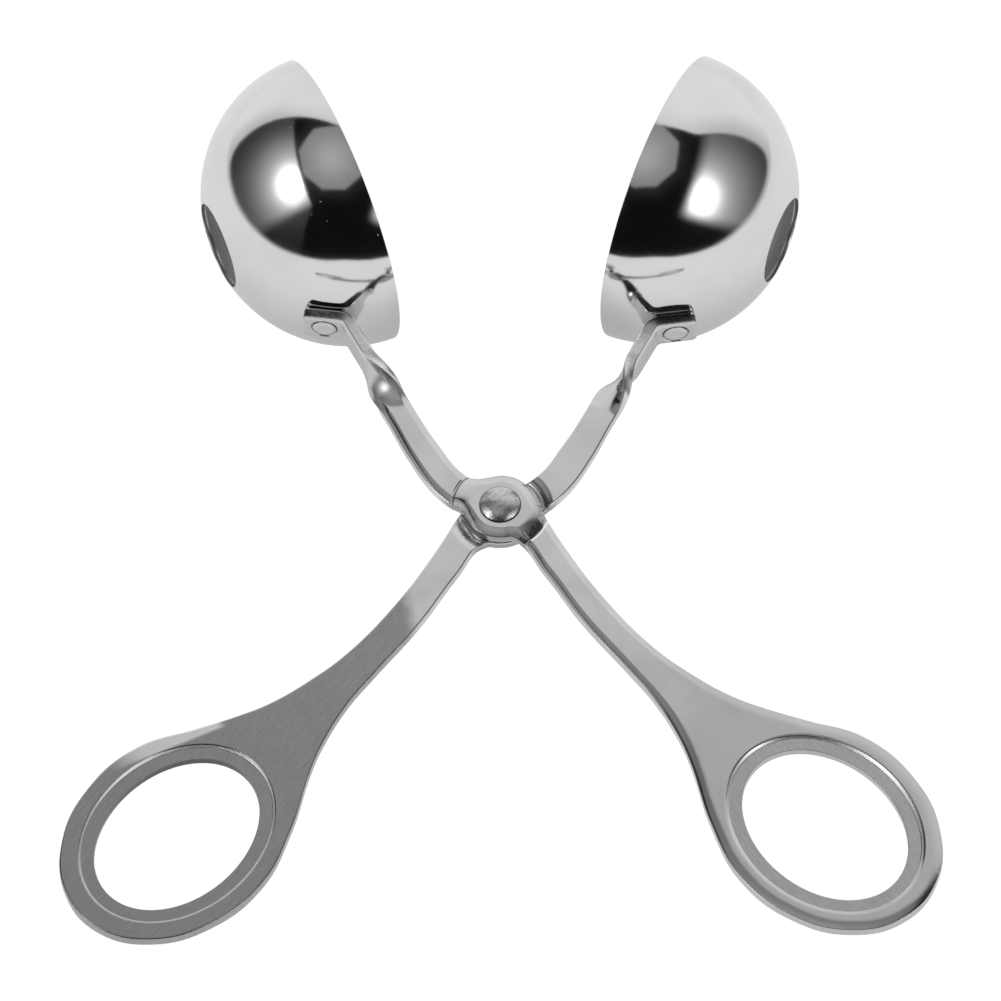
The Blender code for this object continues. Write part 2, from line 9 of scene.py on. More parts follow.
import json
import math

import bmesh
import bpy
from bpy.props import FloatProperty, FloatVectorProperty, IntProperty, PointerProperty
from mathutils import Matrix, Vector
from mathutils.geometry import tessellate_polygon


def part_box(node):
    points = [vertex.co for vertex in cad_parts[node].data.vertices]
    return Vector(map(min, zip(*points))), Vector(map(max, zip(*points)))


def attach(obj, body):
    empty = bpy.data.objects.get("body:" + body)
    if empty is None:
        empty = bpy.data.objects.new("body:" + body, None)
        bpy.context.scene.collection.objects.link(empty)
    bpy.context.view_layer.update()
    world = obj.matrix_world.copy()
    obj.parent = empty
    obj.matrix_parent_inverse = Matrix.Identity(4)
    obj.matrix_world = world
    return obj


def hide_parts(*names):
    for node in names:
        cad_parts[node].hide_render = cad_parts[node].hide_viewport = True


bl_info = {
    "name": "Meatball Scoop",
    "version": (1, 0, 0),
    "blender": (4, 5, 0),
    "location": "View3D > Sidebar > Scoop",
    "description": "Finished levers, bowls and rivets of a meatball scoop, and its studio",
    "category": "Object",
}

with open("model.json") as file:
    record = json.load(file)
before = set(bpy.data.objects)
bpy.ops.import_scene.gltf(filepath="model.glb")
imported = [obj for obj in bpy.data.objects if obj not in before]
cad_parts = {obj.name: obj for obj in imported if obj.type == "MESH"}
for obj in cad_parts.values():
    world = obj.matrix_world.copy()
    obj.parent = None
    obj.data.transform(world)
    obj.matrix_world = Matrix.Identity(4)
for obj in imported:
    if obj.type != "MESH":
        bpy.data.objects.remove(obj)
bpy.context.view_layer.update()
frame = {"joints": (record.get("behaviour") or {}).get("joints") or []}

MM = 0.001
MERGE = 0.00001 * MM

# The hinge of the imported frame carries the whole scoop. Closed, both levers
# lie on each other's mirror line, so each stands open by half the range.
HINGE = frame["joints"][0]
HINGE_AXIS = Vector(HINGE["axis"]).normalized()
PIVOT = Vector(HINGE["pos_m"])
HALF_OPEN = math.radians(HINGE["range_deg"][1]) / 2.0
LEVER_TILT = math.atan2(-HINGE_AXIS.y, HINGE_AXIS.z)
SCOOP_PLACE = Matrix.Translation(PIVOT) @ Matrix.Rotation(LEVER_TILT, 4, "X")
UPPER_SIDE = SCOOP_PLACE @ Matrix.Rotation(HALF_OPEN, 4, "Z")
LOWER_SIDE = (SCOOP_PLACE @ Matrix.Rotation(-HALF_OPEN, 4, "Z")
              @ Matrix.Rotation(math.pi, 4, "Y"))

# Lever plate
SEAT_GAP = 0.3 * MM
PLATE_THICKNESS = 2.2 * MM
HALF_PLATE = PLATE_THICKNESS / 2.0
EYE_RADIUS = 6.0 * MM
EYE_LIFT = (PLATE_THICKNESS + SEAT_GAP) / 2.0
FLAT_LIFT = 0.6 * MM
JOGGLE_ABOVE = (5.0 * MM, 8.05 * MM)
JOGGLE_BELOW = (6.9 * MM, 9.05 * MM)
JOGGLE_POWERS = (1.8, 1.5, 6.0)
JOGGLE_LIP = 0.25
JOGGLE_ANGLES = (math.radians(-68.0), math.radians(124.0))
GROOVE_DEPTH = 0.05 * MM
GROOVE_WIDTH = 0.16 * MM

# Handle and finger ring
HANDLE_REACH = 81.0 * MM
HANDLE_ANGLE = math.radians(-72.0)
NECK_WIDTH = 5.4 * MM
RING_LENGTH = 43.6 * MM
RING_WIDTH = 34.0 * MM
RING_END_BAND = 6.0 * MM
RING_SIDE_BAND = 5.35 * MM

# Upper arm
ARM_REACH = 25.6 * MM
ARM_ANGLE = math.radians(108.6)
ARM_WIDTH = 5.0 * MM
TWIST_LENGTH = 11.5 * MM
BEND_RADIUS = 2.6 * MM
TAB_WIDTH = 6.1 * MM
TAB_LENGTH = 7.1 * MM
TAB_CORNER = 0.9 * MM
TAB_SLIDE = 0.75 * MM
TAB_LIFT = 0.8 * MM
TAB_GAP = 0.08 * MM

# Bowl
BOWL_RADIUS = 25.0 * MM
BOWL_DEPTH = 23.8 * MM
BOWL_SHEET = 0.8 * MM
BOWL_HOLE_RADIUS = 7.3 * MM
BOWL_REACH = 66.9 * MM
RIM_GAP = 0.4 * MM
TAB_SEAT_ANGLE = math.radians(29.0)
SEAT_FLAT = 0.45 * MM
SEAT_BLEND = 0.12 * MM

# Rivets
PIVOT_SHANK_RADIUS = 2.1 * MM
PIVOT_HEAD_RADIUS = 3.35 * MM
PIVOT_HEAD_HEIGHT = 1.2 * MM
PIVOT_TAIL_RADIUS = 3.0 * MM
PIVOT_TAIL_HEIGHT = 0.8 * MM
BOWL_RIVET_SHANK_RADIUS = 1.2 * MM
BOWL_RIVET_HEAD_RADIUS = 2.1 * MM
BOWL_RIVET_SINK = 0.8 * MM
BOWL_RIVET_CROWN = 0.15 * MM
BOWL_RIVET_TAIL_HEIGHT = 0.6 * MM
RIVET_GAP = 0.03 * MM
HEAD_WALL = 0.3 * MM
DOME_POWER = 2.6
DENT_MIDDLE = 0.75

# Rounded edge of a rivet's head: how far in as a share of its corner, and how
# high as a share of its wall
HEAD_EDGE = (0.3, 0.8)

# Handle stations between eye and ring: distance along the handle and offset
# of its middle as shares of the reach, and width as a share of the neck.
HANDLE_STATION_SHARES = (
    (0.174, 0.001, 1.00),
    (0.309, -0.017, 1.02),
    (0.457, -0.021, 1.11),
    (0.547, -0.017, 1.41),
    (0.648, -0.014, 2.15),
    (0.709, -0.011, 2.90),
)
RING_EDGE_ANGLES = (math.radians(-125.0), math.radians(141.0))

# Round stretches of the eye, and the points that blend it into handle and
# arm as angles with shares of the eye's radius.
EYE_TOP_ARC = (math.radians(0.0), math.radians(88.0))
EYE_LOW_ARC = (math.radians(178.0), math.radians(250.0))
EYE_SHOULDER = (math.radians(-32.0), 1.20)
EYE_INNER_BLEND = ((math.radians(103.5), 1.13), (math.radians(109.8), 1.54))
EYE_OUTER_BLEND = (
    (math.radians(137.0), 2.06), (math.radians(148.5), 1.49), (math.radians(162.0), 1.10))
EYE_HANDLE_CORNER = (math.radians(268.0), 1.06)

# One station of the curved arm between eye and twist
ARM_STATION_SHARE = 0.655
ARM_STATION_ANGLE = math.radians(116.0)
ARM_STATION_HEADING = math.radians(98.5)
ARM_STATION_WIDTH_SHARE = 1.09

# The shoulder that the punch rolls onto the upper face: where its width
# changes, and how it leaves the face and meets the wall.
EYE_SHOULDER_ENDS = (6.2 * MM, 9.5 * MM)
RING_SHOULDER_ENDS = (40.0 * MM, 58.0 * MM)
TAB_SHOULDER_ENDS = (0.5 * TWIST_LENGTH, TWIST_LENGTH)
EYE_POWER = 1.25
BAR_POWER = 1.4
RING_POWER = 3.3
TAB_POWER = 1.5

# Steps down to the ledges, from the face in: shares of their width and depth
SOFT_FALL = (
    (0.0, 0.0), (0.12, 0.01), (0.24, 0.04), (0.36, 0.11), (0.48, 0.23),
    (0.60, 0.40), (0.72, 0.59), (0.84, 0.78), (0.93, 0.92), (1.0, 1.0),
)
BEVEL_FALL = (
    (0.0, 0.0), (0.1, 0.05), (0.2, 0.16), (0.5, 0.5), (0.8, 0.84), (0.9, 0.95), (1.0, 1.0),
)

# Sampling of curves and formed stretches
ARC_STEP = math.radians(30.0)
CORNER_STEP = math.radians(15.0)
OUTLINE_STEPS = 8
OVAL_SIDES = 160
BORE_SIDES = 48
BORE_EDGE = 0.12 * MM
BORE_EDGE_STEPS = 2
SHOULDER_STEPS = 12
SHOULDER_CORNER_ANGLES = (math.radians(30.0), math.radians(60.0), math.radians(90.0))
EDGE_STEPS = 3
SUPPORT = 0.06 * MM
JOGGLE_CUTS = 26
JOGGLE_SIDE_CUTS = 8
GROOVE_CUTS = 12
TWIST_CUTS = 48
BEND_CUTS = 14
ARM_CUTS = 2
BOWL_OUTSIDE_STEPS = 96
BOWL_INSIDE_STEPS = 72
LIP_STEPS = 8
LIP_POWER = 0.6
PIVOT_HEAD_STEPS = 20
PIVOT_TAIL_STEPS = 14
BOWL_RIVET_TAIL_STEPS = 10


def polar(angle, radius):
    """Point at a distance and angle from the pivot, in the lever's plane."""
    return Vector((math.cos(angle), math.sin(angle))) * radius


def left_of(direction):
    """Direction turned a quarter turn counter-clockwise."""
    return Vector((-direction.y, direction.x))


def angles_between(start, end, step):
    """Evenly spaced angles from start to end, no further apart than step."""
    return stretch_of(start, end, max(1, math.ceil(round((end - start) / step, 6))))


def stretch_of(start, end, cuts):
    """Evenly spaced values from start to end."""
    return [start + (end - start) * i / cuts for i in range(cuts + 1)]


def share_between(value, ends):
    """How far a value lies between two ends, from 0 to 1."""
    return min(1.0, max(0.0, (value - ends[0]) / (ends[1] - ends[0])))


def ease(value):
    """Smooth ramp from 0 to 1."""
    value = min(1.0, max(0.0, value))
    return value * value * (3.0 - 2.0 * value)


# Places in the closed lever's own frame: the pivot is the origin
BOWL_CENTRE = Vector((-RIM_GAP / 2.0, BOWL_REACH))
HANDLE_AXIS = polar(HANDLE_ANGLE, 1.0)
RING_CENTRE = HANDLE_AXIS * HANDLE_REACH
FINGER_HOLE = (RING_LENGTH / 2.0 - RING_END_BAND, RING_WIDTH / 2.0 - RING_SIDE_BAND)
SEAT_POINT = BOWL_CENTRE - Vector((
    BOWL_DEPTH * math.sin(TAB_SEAT_ANGLE), BOWL_RADIUS * math.cos(TAB_SEAT_ANGLE)))
SEAT_NORMAL = Vector((
    -math.sin(TAB_SEAT_ANGLE) / BOWL_DEPTH, -math.cos(TAB_SEAT_ANGLE) / BOWL_RADIUS)).normalized()
TAB_HEADING = left_of(SEAT_NORMAL) * -1.0
TAB_MIDDLE = (SEAT_POINT + SEAT_NORMAL * (TAB_GAP - SEAT_FLAT + HALF_PLATE)
              + TAB_HEADING * TAB_SLIDE)
TAB_RISE = FLAT_LIFT + TAB_LIFT
BEND_CORNER = TAB_MIDDLE - TAB_HEADING * (TAB_LENGTH / 2.0)
TWIST_START = polar(ARM_ANGLE, ARM_REACH)
ARM_HEADING = (BEND_CORNER - TWIST_START).normalized()
BEND_ANGLE = ARM_HEADING.angle(TAB_HEADING)
BEND_SETBACK = BEND_RADIUS * math.tan(BEND_ANGLE / 2.0)
BEND_START = (BEND_CORNER - TWIST_START).length - BEND_SETBACK
BEND_END = BEND_START + BEND_RADIUS * BEND_ANGLE
BAR_END = BEND_END + TAB_LENGTH - BEND_SETBACK


class LeverSettings(bpy.types.PropertyGroup):
    """Edges, ledge and finish of the two levers."""

    eye_shoulder: FloatVectorProperty(
        name="Eye Shoulder", description="Width, drop and corner of the rolled edge at the eye",
        default=(1.6 * MM, 0.46 * MM, 0.15 * MM), unit="LENGTH", precision=5)
    bar_shoulder: FloatVectorProperty(
        name="Bar Shoulder", description="Width, drop and corner along handle and arm",
        default=(1.15 * MM, 0.34 * MM, 0.15 * MM), unit="LENGTH", precision=5)
    ring_shoulder: FloatVectorProperty(
        name="Ring Shoulder", description="Width, drop and corner round the finger ring",
        default=(2.1 * MM, 0.22 * MM, 0.12 * MM), unit="LENGTH", precision=5)
    tab_shoulder: FloatVectorProperty(
        name="Tab Shoulder", description="Width, drop and corner round the tab",
        default=(0.7 * MM, 0.26 * MM, 0.12 * MM), unit="LENGTH", precision=5)
    crisp_edge: FloatProperty(
        name="Crisp Edge", description="Rounding of the lower face's edge",
        default=0.26 * MM, unit="LENGTH", precision=5)
    ledge_width: FloatProperty(
        name="Ledge Width", description="Width of the sunk ledge round the finger hole",
        default=2.25 * MM, unit="LENGTH", precision=5)
    ledge_depth: FloatProperty(
        name="Ledge Depth", description="Depth of the sunk ledge on each face",
        default=0.4 * MM, unit="LENGTH", precision=5)
    upper_step: FloatProperty(
        name="Upper Step", description="Width of the soft step down to the upper face's ledge",
        default=0.75 * MM, unit="LENGTH", precision=5)
    lower_step: FloatProperty(
        name="Lower Step", description="Width of the bevel down to the lower face's ledge",
        default=0.5 * MM, unit="LENGTH", precision=5)
    ledge_corner: FloatProperty(
        name="Ledge Corner", description="Rounding between the ledge and the hole's wall",
        default=0.05 * MM, unit="LENGTH", precision=5)
    upper_colour: FloatVectorProperty(
        name="Upper Lever", description="Colour of the upper lever's steel",
        default=(0.70, 0.70, 0.70), subtype="COLOR", size=3, min=0.0, max=1.0)
    lower_colour: FloatVectorProperty(
        name="Lower Lever", description="Colour of the lower lever's steel",
        default=(0.70, 0.70, 0.70), subtype="COLOR", size=3, min=0.0, max=1.0)


class BowlSettings(bpy.types.PropertyGroup):
    """Lips, fineness and finish of the two bowls."""

    rim_edge: FloatProperty(
        name="Rim Edge", description="Rounding of the rim's and the hole's edges",
        default=0.18 * MM, unit="LENGTH", precision=5)
    steps: IntProperty(
        name="Steps", description="Faces round a bowl", default=192, min=24)
    colour: FloatVectorProperty(
        name="Bowl", description="Colour of the bowls' steel",
        default=(0.80, 0.80, 0.80), subtype="COLOR", size=3, min=0.0, max=1.0)


class RivetSettings(bpy.types.PropertyGroup):
    """Fineness, dents and finish of the rivets."""

    steps: IntProperty(
        name="Steps", description="Faces round a rivet", default=72, min=12)
    dent_depth: FloatProperty(
        name="Dent Depth", description="Depth of the setting tool's marks on the pivot rivet",
        default=0.05 * MM, unit="LENGTH", precision=5)
    dent_size: FloatProperty(
        name="Dent Size", description="Width of the setting tool's marks",
        default=1.6 * MM, unit="LENGTH", precision=5)
    colour: FloatVectorProperty(
        name="Rivet", description="Colour of the rivets' steel",
        default=(0.60, 0.60, 0.60), subtype="COLOR", size=3, min=0.0, max=1.0)


class StudioSettings(bpy.types.PropertyGroup):
    """Table, light levels and camera."""

    table_width: FloatProperty(
        name="Table Width", description="Width of the white table",
        default=0.56, unit="LENGTH")
    table_drop: FloatProperty(
        name="Table Drop", description="Room under the resting scoop for a lever that closes",
        default=4.4 * MM, unit="LENGTH", precision=5)
    pale: FloatProperty(
        name="Pale Level", description="Brightness of table and paper sweep", default=0.86)
    dark: FloatProperty(
        name="Dark Level", description="Brightness of the dark room", default=0.005)
    shadow: FloatProperty(
        name="Shadow", description="How much of the table's white takes shadow",
        default=0.08, subtype="FACTOR")
    distance: FloatProperty(
        name="Distance", description="Distance from camera to pivot",
        default=2.5, unit="LENGTH")
    elevation: FloatProperty(
        name="Elevation", description="Camera's angle above the levers' plane",
        default=math.radians(59.68), subtype="ANGLE")
    azimuth: FloatProperty(
        name="Azimuth", description="Camera's angle aside from the handles' side",
        default=math.radians(1.55), subtype="ANGLE")
    roll: FloatProperty(
        name="Roll", description="Camera's turn about its own axis",
        default=math.radians(-1.88), subtype="ANGLE")


class Signal:
    """A node's output, used like a number in expressions that add Math nodes."""

    def __init__(self, tree, socket=None):
        self.tree = tree
        self.socket = socket

    def add(self, kind, settings=None, sockets=None, output=0):
        """Any node: its settings first, then the values or links of its sockets."""
        node = self.tree.nodes.new(kind)
        for name, value in (settings or {}).items():
            if name == "stops":
                ramp = node.color_ramp
                for place, level in value:
                    stop = ramp.elements.new(place)
                    stop.color = (level, level, level, 1.0)
                ramp.elements.remove(ramp.elements[-1])
                ramp.elements.remove(ramp.elements[0])
            else:
                setattr(node, name, value)
        for key, value in (sockets or {}).items():
            if isinstance(value, Signal):
                self.tree.links.new(value.socket, node.inputs[key])
            else:
                node.inputs[key].default_value = value
        return Signal(self.tree, node.outputs[output])

    def math(self, operation, *values):
        """Math node on this signal and other values."""
        sockets = {0: self}
        sockets.update({i + 1: value for i, value in enumerate(values)})
        return self.add("ShaderNodeMath", {"operation": operation}, sockets)

    def __add__(self, other):
        return self.math("ADD", other)

    __radd__ = __add__

    def __mul__(self, other):
        return self.math("MULTIPLY", other)

    __rmul__ = __mul__

    def __sub__(self, other):
        return self.math("SUBTRACT", other)

    def __rsub__(self, other):
        return (self * -1.0).math("ADD", other)

    def __truediv__(self, other):
        return self.math("DIVIDE", other)

    def __rtruediv__(self, other):
        return self.math("POWER", -1.0) * other

    def __pow__(self, other):
        return self.math("POWER", other)

    def rise(self, low, high):
        """Smooth step from 0 at low to 1 at high."""
        return self.add(
            "ShaderNodeMapRange", {"interpolation_type": "SMOOTHSTEP"},
            {"Value": self, "From Min": low, "From Max": high})

    def most(self, other):
        """The larger of two signals."""
        return self.math("MAXIMUM", other)

    def fade(self, first, second):
        """Colour that goes from first to second as this signal goes from 0 to 1."""
        return self.add(
            "ShaderNodeMix", {"data_type": "RGBA"},
            {0: self, 6: first, 7: second}, output=2)

    def decay(self, width):
        """1 at 0, falling off over a width."""
        return (self * (-1.0 / width)).math("EXPONENT")

    def noise(self, scale, detail=2.0, roughness=0.5):
        """Noise over this vector, from 0 to 1."""
        return self.add(
            "ShaderNodeTexNoise", None,
            {"Vector": self, "Scale": scale, "Detail": detail, "Roughness": roughness})

    def stretched(self, turn, scale):
        """This vector turned about Z and then scaled along each axis."""
        turned = self.add(
            "ShaderNodeMapping", {"vector_type": "POINT"},
            {"Vector": self, "Rotation": (0.0, 0.0, turn)})
        return self.add(
            "ShaderNodeMapping", {"vector_type": "POINT"},
            {"Vector": turned, "Scale": scale})


def split(vector):
    """The three numbers of a vector signal."""
    return [vector.add("ShaderNodeSeparateXYZ", None, {"Vector": vector}, output=i)
            for i in range(3)]


def reach_along(parts, direction):
    """How far a place or a look, given by its three numbers, reaches along a direction."""
    x, y, z = parts
    return x * direction[0] + y * direction[1] + z * direction[2]


def grey(level):
    """Opaque grey."""
    return (level, level, level, 1.0)


def tint(colour, share):
    """A colour taken down or up by a share, opaque."""
    return tuple(min(1.0, part * share) for part in colour) + (1.0,)


def layered(base, colour, layers):
    """A base under layers, each a cover from 0 to 1 and the share of the colour it shows."""
    for cover, share in layers:
        base = cover.fade(base, tint(colour, share))
    return base


def new_steel(name, colour, roughness, height, bump_distance):
    """Metal whose colour, roughness and height are signals of its own tree.

    colour, roughness and height are functions from a start signal to a signal.
    """
    material = bpy.data.materials.new(name)
    material.use_nodes = True
    tree = material.node_tree
    shader = tree.nodes["Principled BSDF"]
    shader.inputs["Metallic"].default_value = 1.0
    start = Signal(tree)
    tree.links.new(colour(start).socket, shader.inputs["Base Color"])
    tree.links.new(roughness(start).socket, shader.inputs["Roughness"])
    bump = start.add("ShaderNodeBump", None, {
        "Strength": 1.0, "Distance": bump_distance, "Height": height(start)})
    tree.links.new(bump.socket, shader.inputs["Normal"])
    return material


def in_millimetres(start, place):
    """A place in metres taken to millimetres."""
    return start.add(
        "ShaderNodeVectorMath", {"operation": "SCALE"}, {0: place, "Scale": 1.0 / MM})


def object_place(start):
    """Place in the scoop, in millimetres."""
    return in_millimetres(start, start.add("ShaderNodeTexCoord", output="Object"))


def kept_place(start, name):
    """Place kept with a piece, in millimetres: on the flat blank, or before it was put up."""
    return in_millimetres(start, start.add(
        "ShaderNodeAttribute", {"attribute_name": name}, output="Vector"))


# Finish of the levers, with places in millimetres on the blank. The wall of the
# plate runs between the two faces. The upper lever is polished all over, the
# lower one ground from its start on along the handle.
BRUSH_TURN = math.radians(77.3)
BRUSH_SCALE = (0.25, 9.0, 0.25)
STROKE_SCALE = (0.7, 16.0, 0.7)
DRAG_SCALE = (1.3, 6.0, 1.3)
WALL_GRAIN_SCALE = (5.0, 5.0, 0.3)
# HANDLE_FADE: where the polished lever's face darkens along the handle, a painted shade
HANDLE_FADE = (14.0, 62.0)
DULL_FADE = (42.0, 60.0)
GROUND_START = (21.4, 25.6)
GROUND_SLANT = 0.8
STRIP_ALONG = (-21.0, -19.5, -9.0, -1.0)
STRIP_ACROSS = (16.2, 17.2)
STRIP_SLANT = 0.45
EYE_END = (8.0, 10.0)
ARM_END = (-9.0, -7.0)
TWIST_BLUR = (0.5, 3.0, 9.0, 11.5)

# Heights over the plate's middle: end of the wall, the ledges and the steps to
# them. The finger hole's oval counts 1 on its wall and more outside of it.
WALL_TOP = (0.55, 0.75)
LEDGE_LEVELS = (0.64, 0.68, 0.72, 0.76)
STEP_LEVELS = (0.70, 0.73, 0.95, 1.01)
LEDGE_OVALS = (1.0, 1.02, 1.6, 1.9)


def band(signal, ends):
    """1 between the two middle values, falling to 0 at the outer ones."""
    return signal.rise(ends[0], ends[1]) * (1.0 - signal.rise(ends[2], ends[3]))


def along_handle(place):
    """Distances along the handle from the pivot, and across it."""
    x, y, _ = split(place)
    return (x * HANDLE_AXIS.x + y * HANDLE_AXIS.y, x * -HANDLE_AXIS.y + y * HANDLE_AXIS.x)


def from_ring(place):
    """Distances from the ring's centre, along the handle and across it."""
    along, across = along_handle(place)
    return along - RING_CENTRE.length / MM, across


def handle_side(place):
    """1 on the handle's side of the pivot, 0 on the arm's."""
    return along_handle(place)[0].rise(-1.0, 1.0)


def height_of(place):
    """Distance from z = 0, such as the middle of the plate's thickness."""
    return split(place)[2].math("ABSOLUTE")


def reach_of(place):
    """Distance from the z axis: of the pivot on the blank, of a turned piece its own."""
    x, y, _ = split(place)
    return (x * x + y * y).math("SQRT")


def hole_oval(place):
    """1 on the finger hole's wall, and more outside of it."""
    along, across = from_ring(place)
    return (along / (FINGER_HOLE[0] / MM)) ** 2.0 + (across / (FINGER_HOLE[1] / MM)) ** 2.0


def wall_mask(place):
    """1 on the plate's sheared wall, 0 on its faces, shoulders and ledges."""
    ledge = band(hole_oval(place), LEDGE_OVALS)
    return (1.0 - height_of(place).rise(*WALL_TOP)) * (1.0 - ledge)


def wall_grain(place):
    """Scores that the punch leaves down the wall, from 0 to 1."""
    return place.stretched(0.0, WALL_GRAIN_SCALE).noise(1.0, detail=3.0)


def hole_mask(place, levels):
    """1 round the finger hole between two heights: on its ledge or on the step to it."""
    return band(height_of(place), levels) * (1.0 - hole_oval(place).rise(*LEDGE_OVALS[2:]))


def bar_station(place):
    """Distance along the bar from the start of its twist."""
    x, y, _ = split(place)
    return (x - TWIST_START.x / MM) * ARM_HEADING.x + (y - TWIST_START.y / MM) * ARM_HEADING.y


def polished_strip(place):
    """1 on the strip of the ring's outer edge that the grinding belt missed."""
    along, across = from_ring(place)
    return band(along, STRIP_ALONG) * (across - along * STRIP_SLANT).rise(*STRIP_ACROSS)


def brushed(place):
    """Fine straight grinding lines, from 0 to 1."""
    lines = place.stretched(BRUSH_TURN, BRUSH_SCALE).noise(1.0, detail=4.0, roughness=0.7)
    strokes = place.stretched(BRUSH_TURN, STROKE_SCALE).noise(1.0, detail=2.0)
    return lines * 0.6 + strokes * 0.4


def joggle_skin_and_shade(place):
    """1 in the painted shade beside the eye: darker on the ramp towards the handle, mottled like
    creased skin, and a painted dark line in the crease at the arm.
    """
    reach = reach_of(place)
    low, high = JOGGLE_ABOVE[0] / MM, JOGGLE_ABOVE[1] / MM
    side = handle_side(place)
    skin = band(reach, (low, low + 2.0, high - 0.1, high + 0.1)) * side
    drag = place.stretched(-HANDLE_ANGLE, DRAG_SCALE)
    mottle = drag.noise(1.0, detail=4.0, roughness=0.7).rise(0.40, 0.60) * skin * 0.8
    mottle = mottle * (split(place)[2].rise(-0.5, 0.5) * 0.45 + 0.55)
    line = band(reach, (high - 0.35, high - 0.25, high, high + 0.1)) * (1.0 - side) * 0.75
    return (mottle + line) * height_of(place).rise(0.5, 0.7)


def crease_highlight_line(place):
    """1 on a painted highlight line where the handle's joggle ends on the upper face."""
    end = JOGGLE_ABOVE[1] / MM
    upper = handle_side(place) * split(place)[2].rise(0.5, 0.7)
    return band(reach_of(place), (end + 0.15, end + 0.25, end + 0.45, end + 0.6)) * upper


def seat_contact_shade(place):
    """1 in the thin, patchy ring of painted contact shade round the pivot's head."""
    edge = PIVOT_HEAD_RADIUS / MM
    patchy = place.noise(0.5, detail=2.0).rise(0.3, 0.6) * 0.4 + 0.55
    return band(reach_of(place), (edge - 0.1, edge, edge + 0.08, edge + 0.26)) * patchy


def grinding(place, share):
    """How much the surface is ground: not near the pivot, then all over its face."""
    along, across = along_handle(place)
    edge = along + across * GROUND_SLANT + place.noise(0.5, detail=3.0) * 2.0 - 1.0
    return edge.rise(*GROUND_START) * share * (1.0 - polished_strip(place))


def face_layers(place, brush_share, far_share):
    """Covers and shares of colour on a lever's faces, the lowest layer first."""
    polish_share = 1.0 - brush_share
    cloud = place.noise(0.13, detail=2.0).rise(0.35, 0.7)
    strip = polished_strip(place) * brush_share
    streak = brushed(place).rise(0.40, 0.66) * (grinding(place, brush_share) * 0.8 + 0.06)
    speck = place.noise(5.0, detail=4.0, roughness=0.8).rise(0.64, 0.74)
    strokes = (brushed(place).rise(0.4, 0.6) * 0.3 + 0.15) * polish_share
    return (
        (cloud * 0.3, 0.65),
        (strip * 0.8, 1.25),
        (streak * 0.45, far_share * 0.5),
        (speck * 0.35, 0.4),
        # Painted shade on the joggle's ramp and a painted dark line in its crease
        (joggle_skin_and_shade(place), 0.2),
        # Painted contact shade round the pivot's head
        (seat_contact_shade(place), 0.1),
        # Painted highlight along the joggle's crease
        (crease_highlight_line(place), 1.4),
        (strokes * hole_mask(place, LEDGE_LEVELS), 0.35),
        # Painted highlight on the soft step down to the ledge round the finger hole
        (hole_mask(place, STEP_LEVELS), 1.4),
    )


def wall_layers(place, brush_share):
    """Covers and shares of colour on the sheared wall, the lowest layer first."""
    wall = wall_mask(place)
    arm = along_handle(place)[0].rise(*ARM_END)
    eye = 1.0 - reach_of(place).rise(*EYE_END)
    tab = bar_station(place).rise(BEND_START / MM, BEND_END / MM)
    # Mottled cover for the painted dark reflection on the tab's wall
    mottled_tab_shade = place.noise(1.8, detail=4.0, roughness=0.8).rise(0.35, 0.6) * 0.25 + 0.72
    hole = 1.0 - hole_oval(place).rise(1.02, 1.04)
    return (
        # Wall along the arm lighter: a painted reflection of the pale paper sweep
        (wall * (1.0 - arm) * 0.8, 1.35),
        (wall * wall_grain(place).rise(0.35, 0.7) * 0.3, 0.6),
        # Painted shade on the wall round the eye, where the two eyes stack
        (wall * eye * 0.6, 0.3),
        # Painted dark reflection, mottled, on the tab's wall
        (wall * tab * mottled_tab_shade, 0.08),
        # Painted shade on the wall inside the finger hole of the ground lever
        (wall * hole * brush_share * 0.9, 0.1),
    )


def lever_steel(name, colour, far_share, brush_share, roughness):
    """Stamped steel: pale and smooth near the pivot, darker along the handle: painted shade on
    the polished lever, ground steel on the other.
    """
    def paint(start):
        place = kept_place(start, "blank")
        # On the polished lever the face darkens along the handle: painted shade
        painted_handle_shade = along_handle(place)[0].rise(*HANDLE_FADE) * (1.0 - brush_share)
        fade = painted_handle_shade.most(grinding(place, brush_share))
        base = fade.fade(tint(colour, 1.0), tint(colour, far_share))
        base = layered(base, colour, face_layers(place, brush_share, far_share))
        return layered(base, colour, wall_layers(place, brush_share))

    def gloss(start):
        place = kept_place(start, "blank")
        smudge = place.noise(0.35, detail=4.0, roughness=0.6)
        dull = along_handle(place)[0].rise(*DULL_FADE) * 0.03
        twist = band(bar_station(place), TWIST_BLUR) * (1.0 - brush_share) * 0.26
        face = roughness + grinding(place, brush_share) * 0.08 + dull + twist + smudge * 0.05
        wall = wall_mask(place)
        face = face * (1.0 - wall) + wall * 0.26
        return face + hole_mask(place, STEP_LEVELS) * 0.25 + joggle_skin_and_shade(place) * 0.2

    def relief(start):
        place = kept_place(start, "blank")
        fine = place.noise(7.0, detail=3.0) * 0.10
        lines = brushed(place) * (grinding(place, brush_share) * 0.8 + 0.02)
        return fine + lines + wall_grain(place) * wall_mask(place) * 0.8

    return new_steel(name, paint, gloss, relief, 0.02 * MM)


def bowl_inside(start):
    """1 on the bowl's inside and the inner half of its edges."""
    x, y, z = split(kept_place(start, "turned"))
    across = (x * x + y * y) / (BOWL_RADIUS / MM) ** 2
    reach = (across + z * z / (BOWL_DEPTH / MM) ** 2).math("SQRT")
    middle = 1.0 - BOWL_SHEET / BOWL_RADIUS / 2.0
    return 1.0 - reach.rise(middle - 0.008, middle + 0.004)


